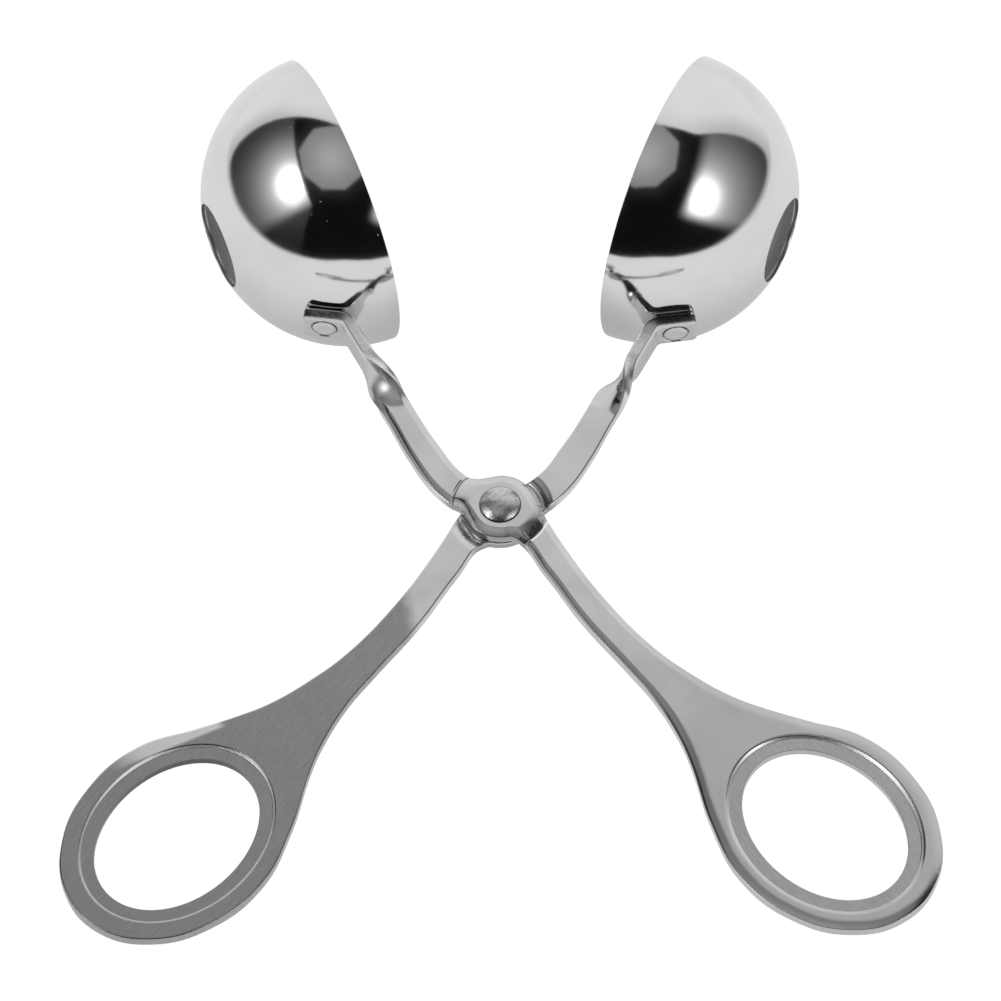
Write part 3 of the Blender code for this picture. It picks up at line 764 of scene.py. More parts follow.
def bowl_steel(name, colour):
    """Mirror-polished steel with a faint skin and pinholes, and inside dull drawing rings with
    painted shade.
    """
    def paint(start):
        cloud = object_place(start).noise(0.09, detail=3.0)
        turning = kept_place(start, "turned").stretched(0.0, (0.0, 0.0, 2.2))
        rings_and_inner_shade = turning.noise(1.0, detail=3.0).rise(0.35, 0.65) * 0.3 + 0.42
        return layered(tint(colour, 1.0), colour, (
            (cloud.rise(0.3, 0.8), 0.93),
            # Painted shade inside the bowl, in dull drawing rings
            (bowl_inside(start) * rings_and_inner_shade, 0.12),
        ))

    def gloss(start):
        smudge = object_place(start).noise(0.22, detail=4.0, roughness=0.6).rise(0.45, 0.8)
        return 0.085 + smudge * 0.03 + bowl_inside(start) * 0.27

    def relief(start):
        place = object_place(start)
        skin = place.noise(2.6, detail=3.0, roughness=0.6) * 0.7
        wave = place.noise(0.45, detail=1.0) * 2.4
        pit = start.add("ShaderNodeTexVoronoi", {"feature": "F1"},
                        {"Vector": place, "Scale": 0.35}, output="Distance")
        pinhole = 1.0 - pit.rise(0.02, 0.05)
        return skin + wave - pinhole * 10.0

    return new_steel(name, paint, gloss, relief, 0.0016 * MM)


def rivet_contact_shade(start):
    """1 in the painted shade under the pivot's head, less in the groove of a bowl's rivet."""
    place = kept_place(start, "turned")
    reach, height = reach_of(place), height_of(place)
    seat = (EYE_LIFT + HALF_PLATE + RIVET_GAP + HEAD_WALL) / MM
    edge = PIVOT_HEAD_RADIUS / MM
    under = reach.rise(edge - 0.2, edge - 0.1) * (1.0 - height.rise(seat - 0.1, seat - 0.05))
    groove = BOWL_RIVET_HEAD_RADIUS / MM
    sunk = reach.rise(groove - 0.25, groove - 0.1) * (1.0 - height.rise(0.2, 0.3))
    return under.most(sunk * 0.5)


def rivet_steel(name, colour):
    """Set rivet: dull skin with darker marks, and painted shade under the head and in the groove.
    """
    def paint(start):
        mark = object_place(start).noise(1.3, detail=4.0, roughness=0.6).rise(0.35, 0.75)
        flush = 1.0 - height_of(kept_place(start, "turned")).rise(0.2, 0.3)
        return layered(tint(colour, 1.15), colour, (
            (mark, 0.7),
            (flush * 0.8, 1.2),
            # Painted shade under the pivot's head and in the bowl rivet's groove
            (rivet_contact_shade(start), 0.08),
        ))

    def gloss(start):
        return 0.2 + object_place(start).noise(1.9, detail=3.0) * 0.2

    def relief(start):
        return object_place(start).noise(3.0, detail=4.0, roughness=0.6)

    return new_steel(name, paint, gloss, relief, 0.03 * MM)


def blend_point(angle_and_share):
    """Outline point near the eye."""
    angle, share = angle_and_share
    return polar(angle, EYE_RADIUS * share)


def oval_point(angle, semi_axes):
    """Point on an oval round the ring's centre, along the handle's axis."""
    return (RING_CENTRE + HANDLE_AXIS * (semi_axes[0] * math.cos(angle))
            + left_of(HANDLE_AXIS) * (semi_axes[1] * math.sin(angle)))


def handle_edge(side_sign):
    """Edge points of the handle from eye to ring, on one side."""
    side = left_of(HANDLE_AXIS)
    points = []
    for along, middle, width in HANDLE_STATION_SHARES:
        aside = middle * HANDLE_REACH + side_sign * width * NECK_WIDTH / 2.0
        points.append(HANDLE_AXIS * (along * HANDLE_REACH) + side * aside)
    return points


def arm_edge(side_sign):
    """Edge points of the flat, curved arm from eye to twist, on one side."""
    heading = polar(ARM_STATION_HEADING, 1.0)
    middle = polar(ARM_STATION_ANGLE, ARM_REACH * ARM_STATION_SHARE)
    half = ARM_WIDTH / 2.0
    return [
        middle + left_of(heading) * (side_sign * half * ARM_STATION_WIDTH_SHARE),
        TWIST_START + left_of(ARM_HEADING) * (side_sign * half),
    ]


def bar_point(station, aside):
    """Point of the flat bar past the twist's start, before it is formed."""
    return TWIST_START + ARM_HEADING * station + left_of(ARM_HEADING) * aside


def tab_end():
    """Points of the bar's end, from its right edge round to its left."""
    half = TAB_WIDTH / 2.0
    middle = BAR_END - TAB_CORNER
    side = half - TAB_CORNER
    points = [bar_point(TWIST_LENGTH, -half)]
    for turn in angles_between(-math.pi / 2.0, 0.0, CORNER_STEP):
        points.append(bar_point(
            middle + TAB_CORNER * math.cos(turn), -side + TAB_CORNER * math.sin(turn)))
    for turn in angles_between(0.0, math.pi / 2.0, CORNER_STEP):
        points.append(bar_point(
            middle + TAB_CORNER * math.cos(turn), side + TAB_CORNER * math.sin(turn)))
    return points + [bar_point(TWIST_LENGTH, half)]


def blank_knots():
    """Outline of the stamped blank, counter-clockwise, as smooth and straight knots."""
    ring = (RING_LENGTH / 2.0, RING_WIDTH / 2.0)
    painted_handle_shade = [oval_point(angle, ring) for angle in angles_between(*RING_EDGE_ANGLES, ARC_STEP)]
    painted_handle_shade += reversed(handle_edge(1.0))
    painted_handle_shade.append(blend_point(EYE_SHOULDER))
    painted_handle_shade += [polar(angle, EYE_RADIUS) for angle in angles_between(*EYE_TOP_ARC, ARC_STEP)]
    painted_handle_shade += [blend_point(place) for place in EYE_INNER_BLEND]
    painted_handle_shade += arm_edge(-1.0)
    back = list(reversed(arm_edge(1.0)))
    back += [blend_point(place) for place in EYE_OUTER_BLEND]
    back += [polar(angle, EYE_RADIUS) for angle in angles_between(*EYE_LOW_ARC, ARC_STEP)]
    back.append(blend_point(EYE_HANDLE_CORNER))
    back += handle_edge(-1.0)
    knots = [(point, "AUTO") for point in painted_handle_shade]
    knots += [(point, "VECTOR") for point in tab_end()]
    return knots + [(point, "AUTO") for point in back]


def sampled_outline(knots):
    """Points along the closed curve through the knots."""
    curve = bpy.data.curves.new("outline", "CURVE")
    curve.dimensions = "2D"
    curve.fill_mode = "NONE"
    curve.resolution_u = OUTLINE_STEPS
    spline = curve.splines.new("BEZIER")
    spline.bezier_points.add(len(knots) - 1)
    spline.use_cyclic_u = True
    for knot, (point, handle) in zip(spline.bezier_points, knots):
        knot.co = (point.x, point.y, 0.0)
        knot.handle_left_type = handle
        knot.handle_right_type = handle
    drawing = bpy.data.objects.new("outline", curve)
    bpy.context.scene.collection.objects.link(drawing)
    mesh = evaluated_mesh(drawing)
    points = [vert.co.xy.copy() for vert in mesh.vertices]
    bpy.data.objects.remove(drawing)
    return [point for point, last in zip(points, points[-1:] + points[:-1])
            if (point - last).length > MERGE]


def evaluated_mesh(item):
    """Mesh of an object with its modifiers applied."""
    graph = bpy.context.evaluated_depsgraph_get()
    return bpy.data.meshes.new_from_object(item.evaluated_get(graph))


def inset_loop(points, insets):
    """The outline drawn in by a distance at each point."""
    result = []
    count = len(points)
    for i, (point, inset) in enumerate(zip(points, insets)):
        along = points[(i + 1) % count] - points[i - 1]
        result.append(point + left_of(along.normalized()) * inset)
    return result


def quarter(radius, steps):
    """A quarter round from a face to a wall: how far in and how far down at each step."""
    return [(radius * (1.0 - math.sin(turn)), radius * (1.0 - math.cos(turn)))
            for turn in stretch_of(0.0, math.pi / 2.0, steps)]


def shoulder_at(sizes, point):
    """Width, drop, corner and power of the rolled edge at a point of the blank's outline."""
    station = (point - TWIST_START).dot(ARM_HEADING)
    stages = (
        (point.length, EYE_SHOULDER_ENDS, sizes.bar_shoulder, BAR_POWER),
        (point.dot(HANDLE_AXIS), RING_SHOULDER_ENDS, sizes.ring_shoulder, RING_POWER),
        (station, TAB_SHOULDER_ENDS, sizes.tab_shoulder, TAB_POWER),
    )
    values = Vector((*sizes.eye_shoulder, EYE_POWER))
    for value, ends, shape, power in stages:
        values = values.lerp(Vector((*shape, power)), ease(share_between(value, ends)))
    return values


def outer_loops(sizes, outline):
    """Loops down the blank's edge: upper face, rolled shoulder, wall, crisp lower edge."""
    shapes = [shoulder_at(sizes, point) for point in outline]

    def loop(inset_and_drop):
        pairs = [inset_and_drop(*shape) for shape in shapes]
        points = inset_loop(outline, [inset for inset, _ in pairs])
        return [(*point, HALF_PLATE - drop) for point, (_, drop) in zip(points, pairs)]

    loops = [loop(lambda width, drop, corner, power: (width + SUPPORT, 0.0))]
    for share in stretch_of(0.0, 1.0, SHOULDER_STEPS):
        loops.append(loop(lambda width, drop, corner, power: (
            width + (corner - width) * share, drop * share ** power)))
    for turn in SHOULDER_CORNER_ANGLES:
        loops.append(loop(lambda width, drop, corner, power: (
            corner * (1.0 - math.sin(turn)), drop + corner * (1.0 - math.cos(turn)))))
    loops.append(loop(lambda width, drop, corner, power: (0.0, drop + corner + SUPPORT)))
    crisp = sizes.crisp_edge
    lower = [(0.0, PLATE_THICKNESS - crisp - SUPPORT)]
    lower += [(inset, PLATE_THICKNESS - rise)
              for inset, rise in reversed(quarter(crisp, EDGE_STEPS))]
    for inset, drop in lower + [(crisp + SUPPORT, PLATE_THICKNESS)]:
        loops.append(loop(lambda *shape: (inset, drop)))
    return loops


def ledge_half_profile(sizes, step, falls):
    """Outset and height from a face over its ledge to the hole's wall."""
    corner = sizes.ledge_corner
    width, level = sizes.ledge_width, HALF_PLATE - sizes.ledge_depth
    points = [(width + step + SUPPORT, HALF_PLATE)]
    points += [(width + step * (1.0 - share), HALF_PLATE - sizes.ledge_depth * fall)
               for share, fall in falls]
    points.append((width - corner - SUPPORT, level))
    points.append((corner + SUPPORT, level))
    points += [(inset, level - drop) for inset, drop in quarter(corner, EDGE_STEPS)]
    return points + [(0.0, level - corner - SUPPORT)]


def bore_half_profile():
    """Outset and height of a plain bore's upper half."""
    points = [(BORE_EDGE + SUPPORT, HALF_PLATE)]
    points += [(inset, HALF_PLATE - drop) for inset, drop in quarter(BORE_EDGE, BORE_EDGE_STEPS)]
    return points


def joined(above, below):
    """A half profile above the blank's middle and another one's mirror image below it."""
    return above + [(outset, -height) for outset, height in reversed(below)]


def sunk_profile():
    """Outset and height of the tab's countersunk bore, whose sink opens upwards."""
    sink = BOWL_RIVET_HEAD_RADIUS - BOWL_RIVET_SHANK_RADIUS
    return [
        (sink + SUPPORT, HALF_PLATE),
        (sink, HALF_PLATE),
        (0.0, HALF_PLATE - BOWL_RIVET_SINK),
        (0.0, BORE_EDGE - HALF_PLATE),
        (BORE_EDGE, -HALF_PLATE),
        (BORE_EDGE + SUPPORT, -HALF_PLATE),
    ]


def circle_loop(centre, radius, height):
    """Points of a round hole, clockwise, so that its wall faces inwards."""
    return [(*(centre + polar(-2.0 * math.pi * i / BORE_SIDES, radius)), height)
            for i in range(BORE_SIDES)]


def oval_loop(outset, height):
    """Points of the finger hole's oval, clockwise, grown by an outset."""
    axes = (FINGER_HOLE[0] + outset, FINGER_HOLE[1] + outset)
    return [(*oval_point(-2.0 * math.pi * i / OVAL_SIDES, axes), height)
            for i in range(OVAL_SIDES)]


def walled(body, loops):
    """Vertices of stacked loops with faces between them; returns first and last loop."""
    rows = [[body.verts.new(point) for point in points] for points in loops]
    for upper, lower in zip(rows, rows[1:]):
        for i in range(len(upper)):
            body.faces.new((upper[i - 1], lower[i - 1], lower[i], upper[i]))
    return rows[0], rows[-1]


def capped(body, rings_and_inner_shade, upward):
    """Flat face with holes between the rings of vertices."""
    verts = [vert for ring in rings_and_inner_shade for vert in ring]
    places = [[vert.co for vert in ring] for ring in rings_and_inner_shade]
    for corners in tessellate_polygon(places):
        face = body.faces.new([verts[i] for i in corners])
        face.normal_update()
        if (face.normal.z > 0.0) != upward:
            face.normal_flip()


def blank_body(sizes):
    """The flat blank with rounded edges, its holes and the sunk ledges."""
    body = bmesh.new()
    outline = sampled_outline(blank_knots())
    pivot = Vector((0.0, 0.0))
    rivet = bar_point(BAR_END - TAB_LENGTH / 2.0, 0.0)
    bore = PIVOT_SHANK_RADIUS + SEAT_GAP
    shank = BOWL_RIVET_SHANK_RADIUS + SEAT_GAP
    stacks = [
        outer_loops(sizes, outline),
        [oval_loop(outset, height) for outset, height in joined(
            ledge_half_profile(sizes, sizes.upper_step, SOFT_FALL),
            ledge_half_profile(sizes, sizes.lower_step, BEVEL_FALL))],
        [circle_loop(pivot, bore + outset, height)
         for outset, height in joined(bore_half_profile(), bore_half_profile())],
        [circle_loop(rivet, shank + outset, height) for outset, height in sunk_profile()],
    ]
    ends = [walled(body, stack) for stack in stacks]
    capped(body, [first for first, _ in ends], True)
    capped(body, [last for _, last in ends], False)
    return body


def formed(point):
    """Where a point of the flat blank goes when the lever is formed."""
    flat = point.xy
    station = (flat - TWIST_START).dot(ARM_HEADING)
    if station <= 0.0:
        above = 1.0 - share_between(flat.length, JOGGLE_ABOVE) ** JOGGLE_POWERS[0]
        left = 1.0 - share_between(flat.length, JOGGLE_BELOW)
        below = ((1.0 - JOGGLE_LIP) * left ** JOGGLE_POWERS[1]
                 + JOGGLE_LIP * left ** JOGGLE_POWERS[2])
        level = share_between(point.z, (-HALF_PLATE, HALF_PLATE))
        lift = (EYE_LIFT - FLAT_LIFT) * (below + (above - below) * level)
        off = (flat.length - JOGGLE_ABOVE[1] - GROOVE_WIDTH) / GROOVE_WIDTH
        lift -= GROOVE_DEPTH * level * math.exp(-off * off)
        return Vector((flat.x, flat.y, point.z + FLAT_LIFT + lift))

    aside = (flat - TWIST_START).dot(left_of(ARM_HEADING)) * -1.0
    turn = max(0.0, min(BEND_ANGLE, (station - BEND_START) / BEND_RADIUS))
    heading = Matrix.Rotation(turn, 2) @ ARM_HEADING
    centre = bar_point(BEND_START, BEND_RADIUS)
    if turn == 0.0:
        middle = bar_point(station, 0.0)
    else:
        past = max(0.0, station - BEND_END)
        middle = centre - left_of(heading) * BEND_RADIUS + heading * past
    right = left_of(heading) * -1.0
    share = ease(station / TWIST_LENGTH)
    twist = math.pi / 2.0 * share
    across = aside * math.cos(twist) - point.z * math.sin(twist)
    height = aside * math.sin(twist) + point.z * math.cos(twist) + FLAT_LIFT + TAB_LIFT * share
    return Vector((middle.x + right.x * across, middle.y + right.y * across, height))


def crease(body, point, normal):
    """Split the mesh along a line of the plan, so that it can bend there."""
    bmesh.ops.bisect_plane(
        body, geom=body.verts[:] + body.edges[:] + body.faces[:], dist=MERGE,
        plane_co=(point.x, point.y, 0.0), plane_no=(normal.x, normal.y, 0.0))


def crease_for_forming(body):
    """Lines across and along the joggle's ramps, and across twist and bend."""
    groove = (JOGGLE_ABOVE[1] - GROOVE_WIDTH, JOGGLE_ABOVE[1] + 3.0 * GROOVE_WIDTH)
    reaches = stretch_of(JOGGLE_ABOVE[0], JOGGLE_BELOW[1], JOGGLE_CUTS)
    reaches += stretch_of(*groove, GROOVE_CUTS)
    for angle in JOGGLE_ANGLES:
        for reach in reaches:
            crease(body, polar(angle, reach), polar(angle, 1.0))
        for aside in stretch_of(-EYE_RADIUS / 2.0, EYE_RADIUS / 2.0, JOGGLE_SIDE_CUTS):
            crease(body, left_of(polar(angle, aside)), left_of(polar(angle, 1.0)))
    stations = stretch_of(0.0, TWIST_LENGTH, TWIST_CUTS)
    stations += stretch_of(BEND_START, BEND_END, BEND_CUTS)
    for station in stations:
        crease(body, bar_point(station, 0.0), ARM_HEADING)
    for aside in stretch_of(-ARM_WIDTH / 4.0, ARM_WIDTH / 4.0, ARM_CUTS):
        crease(body, bar_point(0.0, aside), left_of(ARM_HEADING))


def lever_mesh(sizes):
    """One finished lever in its own frame, which keeps its place on the blank."""
    body = blank_body(sizes)
    crease_for_forming(body)
    bmesh.ops.triangulate(body, faces=body.faces)
    blank = body.verts.layers.float_vector.new("blank")
    for vert in body.verts:
        vert[blank] = vert.co
        vert.co = formed(vert.co)
    bmesh.ops.recalc_face_normals(body, faces=body.faces)
    mesh = bpy.data.meshes.new("lever")
    body.to_mesh(mesh)
    body.free()
    mesh.shade_smooth()
    return mesh


def finished(name, mesh, place, material, body, node):
    """A piece in its place, riding on its body and standing for its node."""
    mesh = mesh.copy()
    mesh.transform(place)
    mesh.materials.clear()
    mesh.materials.append(material)
    item = bpy.data.objects.new(name, mesh)
    bpy.context.scene.collection.objects.link(item)
    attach(item, body)
    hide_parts(node)


def turning_tree():
    """Geometry Nodes that turn a profile about Z and dent the result, made once."""
    made = bpy.data.node_groups.get("turned_piece")
    if made:
        return made
    tree = bpy.data.node_groups.new("turned_piece", "GeometryNodeTree")
    sizes = (("Geometry", "Geometry"), ("Steps", "Int"), ("Dent Depth", "Float"),
             ("Dent Size", "Float"), ("Material", "Material"))
    for name, kind in sizes:
        tree.interface.new_socket(name, in_out="INPUT", socket_type="NodeSocket" + kind)
    tree.interface.new_socket("Geometry", in_out="OUTPUT", socket_type="NodeSocketGeometry")
    start = Signal(tree)
    inputs = tree.nodes.new("NodeGroupInput")
    given = {socket.name: Signal(tree, socket) for socket in inputs.outputs if socket.name}

    rows = start.add("GeometryNodeAttributeDomainSize", {"component": "MESH"},
                     {"Geometry": given["Geometry"]}, output="Point Count")
    sheet = start.add("GeometryNodeMeshGrid", None, {
        "Size X": 1.0, "Size Y": 1.0, "Vertices X": given["Steps"] + 1, "Vertices Y": rows},
        output="Mesh")
    place = start.add("GeometryNodeInputPosition")
    across, along, _ = split(place)
    index = ((along + 0.5) * (rows - 1)).math("ROUND")
    point = start.add("GeometryNodeSampleIndex", {"data_type": "FLOAT_VECTOR", "domain": "POINT"},
                      {"Geometry": given["Geometry"], "Value": place, "Index": index})
    turned = start.add("ShaderNodeVectorRotate", {"rotation_type": "Z_AXIS"},
                       {"Vector": point, "Angle": (across + 0.5) * (2.0 * math.pi)})
    shaped = start.add("GeometryNodeSetPosition", None, {"Geometry": sheet, "Position": turned})
    closed = start.add("GeometryNodeMergeByDistance", None,
                       {"Geometry": shaped, "Distance": MERGE})
    dents = place.add("ShaderNodeTexNoise", None,
                      {"Vector": place, "Scale": 1.0 / given["Dent Size"], "Detail": 1.0})
    push = start.add("ShaderNodeVectorMath", {"operation": "SCALE"}, {
        0: start.add("GeometryNodeInputNormal"),
        "Scale": (dents - DENT_MIDDLE) * given["Dent Depth"]})
    dented = start.add("GeometryNodeSetPosition", None, {"Geometry": closed, "Offset": push})
    real = start.add("GeometryNodeRealizeInstances", None, {"Geometry": dented})
    faced = start.add("GeometryNodeSetMaterial", None,
                      {"Geometry": real, "Material": given["Material"]})
    outputs = tree.nodes.new("NodeGroupOutput")
    tree.links.new(faced.socket, outputs.inputs[0])
    return tree


def turned_mesh(name, profile, steps, material, dents=(0.0, 1.0)):
    """Closed mesh turned about Z from radius and height points, which keeps its place."""
    tree = turning_tree()
    mesh = bpy.data.meshes.new(name)
    edges = [(i, i + 1) for i in range(len(profile) - 1)]
    mesh.from_pydata([(radius, 0.0, height) for radius, height in profile], edges, [])
    item = bpy.data.objects.new(name, mesh)
    bpy.context.scene.collection.objects.link(item)
    modifier = item.modifiers.new("turned", "NODES")
    modifier.node_group = tree
    values = {"Steps": steps, "Dent Depth": dents[0], "Dent Size": dents[1],
              "Material": material}
    for socket in tree.interface.items_tree:
        if socket.in_out == "INPUT" and socket.name in values:
            modifier[socket.identifier] = values[socket.name]
    result = evaluated_mesh(item)
    bpy.data.objects.remove(item)
    body = bmesh.new()
    body.from_mesh(result)
    bmesh.ops.remove_doubles(body, verts=body.verts, dist=MERGE)
    bmesh.ops.recalc_face_normals(body, faces=body.faces)
    own = body.verts.layers.float_vector.new("turned")
    for vert in body.verts:
        vert[own] = vert.co
    body.to_mesh(result)
    body.free()
    result.shade_smooth()
    return result


def bowl_profile(sizes):
    """Radius and height round the bowl's wall: outside, hole, inside and rim."""
    edge = sizes.rim_edge
    outside = (BOWL_RADIUS, BOWL_DEPTH)
    inside = (BOWL_RADIUS - BOWL_SHEET, BOWL_DEPTH - BOWL_SHEET)

    def wall(axes, steps):
        low = math.asin(edge / axes[1])
        high = math.acos((BOWL_HOLE_RADIUS + edge) / axes[0])
        near = SUPPORT / axes[0]
        turns = [low, low + near] + stretch_of(low, high, steps)[1:-1] + [high - near, high]
        return [(axes[0] * math.cos(turn), axes[1] * math.sin(turn)) for turn in turns]

    outer = wall(outside, BOWL_OUTSIDE_STEPS)
    inner = list(reversed(wall(inside, BOWL_INSIDE_STEPS)))
    lip = rounded_between(outer[-1], inner[0], edge)
    rim = rounded_between(inner[-1], outer[0], edge)
    profile = outer + lip + inner + rim
    return profile + profile[:1]


def rounded_between(start, end, bulge):
    """Points of a low round lip from one side of the sheet to the other."""
    start, end = Vector(start), Vector(end)
    across = end - start
    out = left_of(across.normalized()) * -1.0
    points = []
    for i in range(1, LIP_STEPS):
        turn = math.pi * i / LIP_STEPS
        middle = start + across * ((1.0 - math.cos(turn)) / 2.0)
        points.append(tuple(middle - out * (bulge * math.sin(turn) ** LIP_POWER)))
    return points


def seat_pressed(mesh):
    """Press the flat for the tab into the bowl's wall, softly round its edge."""
    local = bowl_place().inverted()
    normal = local.to_3x3() @ Vector((*SEAT_NORMAL, 0.0))
    point = local @ Vector((*SEAT_POINT, 0.0))
    level = point.dot(normal) - SEAT_FLAT
    for vert in mesh.vertices:
        outward = vert.co.normalized()
        reach = 1.0 / math.hypot(
            outward.xy.length / BOWL_RADIUS, outward.z / BOWL_DEPTH)
        over = reach * outward.dot(normal) - level
        vert.co -= normal * ((over + math.hypot(over, SEAT_BLEND)) / 2.0)


def bowl_place():
    """Placement of a bowl: its pole points away from the other bowl."""
    return (Matrix.Translation((BOWL_CENTRE.x, BOWL_CENTRE.y, 0.0))
            @ Matrix.Rotation(-math.pi / 2.0, 4, "Y"))


def rivet_place():
    """Placement of a bowl's rivet on its tab."""
    face = TAB_MIDDLE + SEAT_NORMAL * HALF_PLATE
    turn = Vector((0.0, 0.0, 1.0)).rotation_difference(Vector((*SEAT_NORMAL, 0.0)))
    return Matrix.Translation((face.x, face.y, TAB_RISE)) @ turn.to_matrix().to_4x4()


def dome(radius, height, base, steps):
    """Head from its axis out to its edge: low dome over a short rounded wall."""
    corner = HEAD_WALL / 2.0
    points = []
    for share in stretch_of(0.0, 1.0, steps):
        rise = (height - HEAD_WALL) * (1.0 - share ** DOME_POWER)
        points.append(((radius - corner) * share, base + HEAD_WALL + rise))
    edge = (radius - corner * HEAD_EDGE[0], base + HEAD_WALL * HEAD_EDGE[1])
    return points + [edge, (radius, base + corner)]


def pivot_rivet_profile():
    """Domed head over the eyes, shank, and flatter tail below."""
    seat = EYE_LIFT + HALF_PLATE + RIVET_GAP
    head = dome(PIVOT_HEAD_RADIUS, PIVOT_HEAD_HEIGHT, seat, PIVOT_HEAD_STEPS)
    tail = dome(PIVOT_TAIL_RADIUS, PIVOT_TAIL_HEIGHT, seat, PIVOT_TAIL_STEPS)
    inner_edge = [(PIVOT_HEAD_RADIUS, seat), (PIVOT_SHANK_RADIUS, seat),
                  (PIVOT_SHANK_RADIUS, -seat), (PIVOT_TAIL_RADIUS, -seat)]
    return head + inner_edge + [(radius, -height) for radius, height in reversed(tail)]


# Flush head of a bowl's rivet, from its axis outwards: radius as a share of
# the head's, height as a share of its crown. A groove runs round its edge.
RIVET_FACE_SHARES = (
    (0.0, 0.35), (0.16, 0.40), (0.34, 0.62), (0.46, 1.0), (0.58, 0.95),
    (0.72, 0.80), (0.83, 0.55), (0.90, -0.5), (0.95, -0.4), (1.0, 0.0),
)


def bowl_rivet_profile():
    """Flush rivet of a tab; z = 0 is the tab's outer face and +Z points out."""
    seat = -(PLATE_THICKNESS + TAB_GAP + BOWL_SHEET + SEAT_GAP)
    face = [(radius * BOWL_RIVET_HEAD_RADIUS, rise * BOWL_RIVET_CROWN)
            for radius, rise in RIVET_FACE_SHARES]
    shank = [(BOWL_RIVET_SHANK_RADIUS, -BOWL_RIVET_SINK), (BOWL_RIVET_SHANK_RADIUS, seat),
             (BOWL_RIVET_HEAD_RADIUS, seat)]
    tail = dome(BOWL_RIVET_HEAD_RADIUS, BOWL_RIVET_TAIL_HEIGHT, -seat, BOWL_RIVET_TAIL_STEPS)
    return face + shank + [(radius, -height) for radius, height in reversed(tail)]


# The paper sweep hangs behind the table. Its edges are straight lines overhead,
# so a look sees paper where it reaches along all three of these directions.
SWEEP_EDGES = ((0.58, 1.0, -0.30), (-0.51, 1.0, 0.095), (0.12, 1.0, -0.285))
SWEEP_ROUND = 0.12

# How far the table's side edges lie below the horizon as seen from a bowl, and
# how softly the sweep's edge runs into them
TABLE_SIDE_SLOPE = 0.12
TABLE_CORNER_ROUND = 0.24

# Haze over the paper near its edge and the blur of the edge, each in front and
# what is added at the sides, and the level of the paper right at its first edge
SWEEP_HAZE = (0.12, 0.22)
SWEEP_BLUR = (0.012, 0.03)
SWEEP_EDGE_LEVEL = 0.35

# Octagonal soft light overhead: how it leans, its half width over its height,
# and the levels of its edge, of what its middle adds and of the haze round it
OVERHEAD_LEAN = (0.17, 0.18)
OVERHEAD_HALF_WIDTH = 0.5
OVERHEAD_LEVELS = (0.26, 0.18, 0.02)

# Soft light on each side: where it hangs, the level and the width of its hot
# core and of the halo on its cloth, the level of the cloth itself, and how much
# of it the paper hides. Each edge of the cloth is a straight line with its blur
# and the level that is left past it.
SIDE_LIGHTS = (
    {"direction": (-0.686, -0.346, 0.641), "core": (4.0, 0.014), "halo": (0.8, 0.11),
     "cloth": 0.05, "hidden": 0.4, "edges": (
         ((-1.0, 0.0, -0.74), (-0.012, 0.02), 0.0),
         ((-1.49, 1.0, 0.0), (-0.01, 0.01), 0.0),
         ((-0.435, 1.0, 0.626), (-0.16, 0.06), 0.12))},
    {"direction": (0.647, -0.539, 0.539), "core": (2.5, 0.024), "halo": (0.6, 0.22),
     "cloth": 0.03, "hidden": 0.15, "edges": (
         ((1.0, 0.0, -0.74), (-0.10, 0.18), 0.0),
         ((0.5, 1.0, 1.075), (-0.20, 0.10), 0.0))},
)

# How much darker the table is under a resting bowl, and how far that reaches
UNDER_BOWL_SHADE = 0.28
UNDER_BOWL_REACH = 36.0 * MM

# The white table's length, its white as the camera sees it, and its matt white
TABLE_LENGTH = 6.0
TABLE_WHITE = 1.08
TABLE_MATT = 0.9


def paper_sweep(look):
    """How pale the paper sweep is in each direction, and how near a look comes to it."""
    x, _, z = look
    soft, *hard = [reach_along(look, edge) for edge in SWEEP_EDGES]
    sweep = soft
    for edge in hard:
        sweep = sweep.math("SMOOTH_MIN", edge, SWEEP_ROUND)
    near = sweep.rise(-0.5, 0.0)

    # The table's side edge cuts the sweep off in a round corner
    outward = x.math("ABSOLUTE")
    side = outward * -TABLE_SIDE_SLOPE - z
    sweep = sweep.math("SMOOTH_MAX", side, TABLE_CORNER_ROUND)
    soft = soft.math("SMOOTH_MAX", side, TABLE_CORNER_ROUND)

    haze = outward.rise(0.3, 0.8) * SWEEP_HAZE[1] + SWEEP_HAZE[0]
    haze = haze * (1.0 - sweep.rise(0.02, 0.35))
    blur = outward.rise(0.6, 0.95) * SWEEP_BLUR[1] + SWEEP_BLUR[0]
    level = soft.rise(-0.04, 0.05) * (1.0 - SWEEP_EDGE_LEVEL) + SWEEP_EDGE_LEVEL
    return (sweep / blur * 0.5 + 0.5).rise(0.0, 1.0) * level * (1.0 - haze), near


def overhead_light(look):
    """Dim octagonal soft light overhead, in a haze of its own."""
    x, y, z = look
    aside = (x + z * OVERHEAD_LEAN[0]).math("ABSOLUTE")
    ahead = (y + z * OVERHEAD_LEAN[1]).math("ABSOLUTE")
    corner = (aside + ahead) * math.sqrt(0.5)
    past = aside.most(ahead).most(corner) - z * OVERHEAD_HALF_WIDTH
    edge, middle, haze = OVERHEAD_LEVELS
    cloth = (1.0 - past.rise(-OVERHEAD_HALF_WIDTH, 0.0)) * middle + edge
    return (1.0 - past.rise(-0.02, 0.02)) * cloth + (1.0 - past.rise(-0.1, 0.3)) * haze


def side_light(look, light, near):
    """A soft light's hot core, which falls off over its cloth, within the cloth's edges."""
    off = 1.0 - reach_along(look, light["direction"])
    core, halo = [off.decay(width) * level for level, width in (light["core"], light["halo"])]
    shine = core + halo + light["cloth"]
    for edge, blur, left in light["edges"]:
        shine = shine * (reach_along(look, edge).rise(*blur) * (1.0 - left) + left)
    return shine * (1.0 - near * light["hidden"])


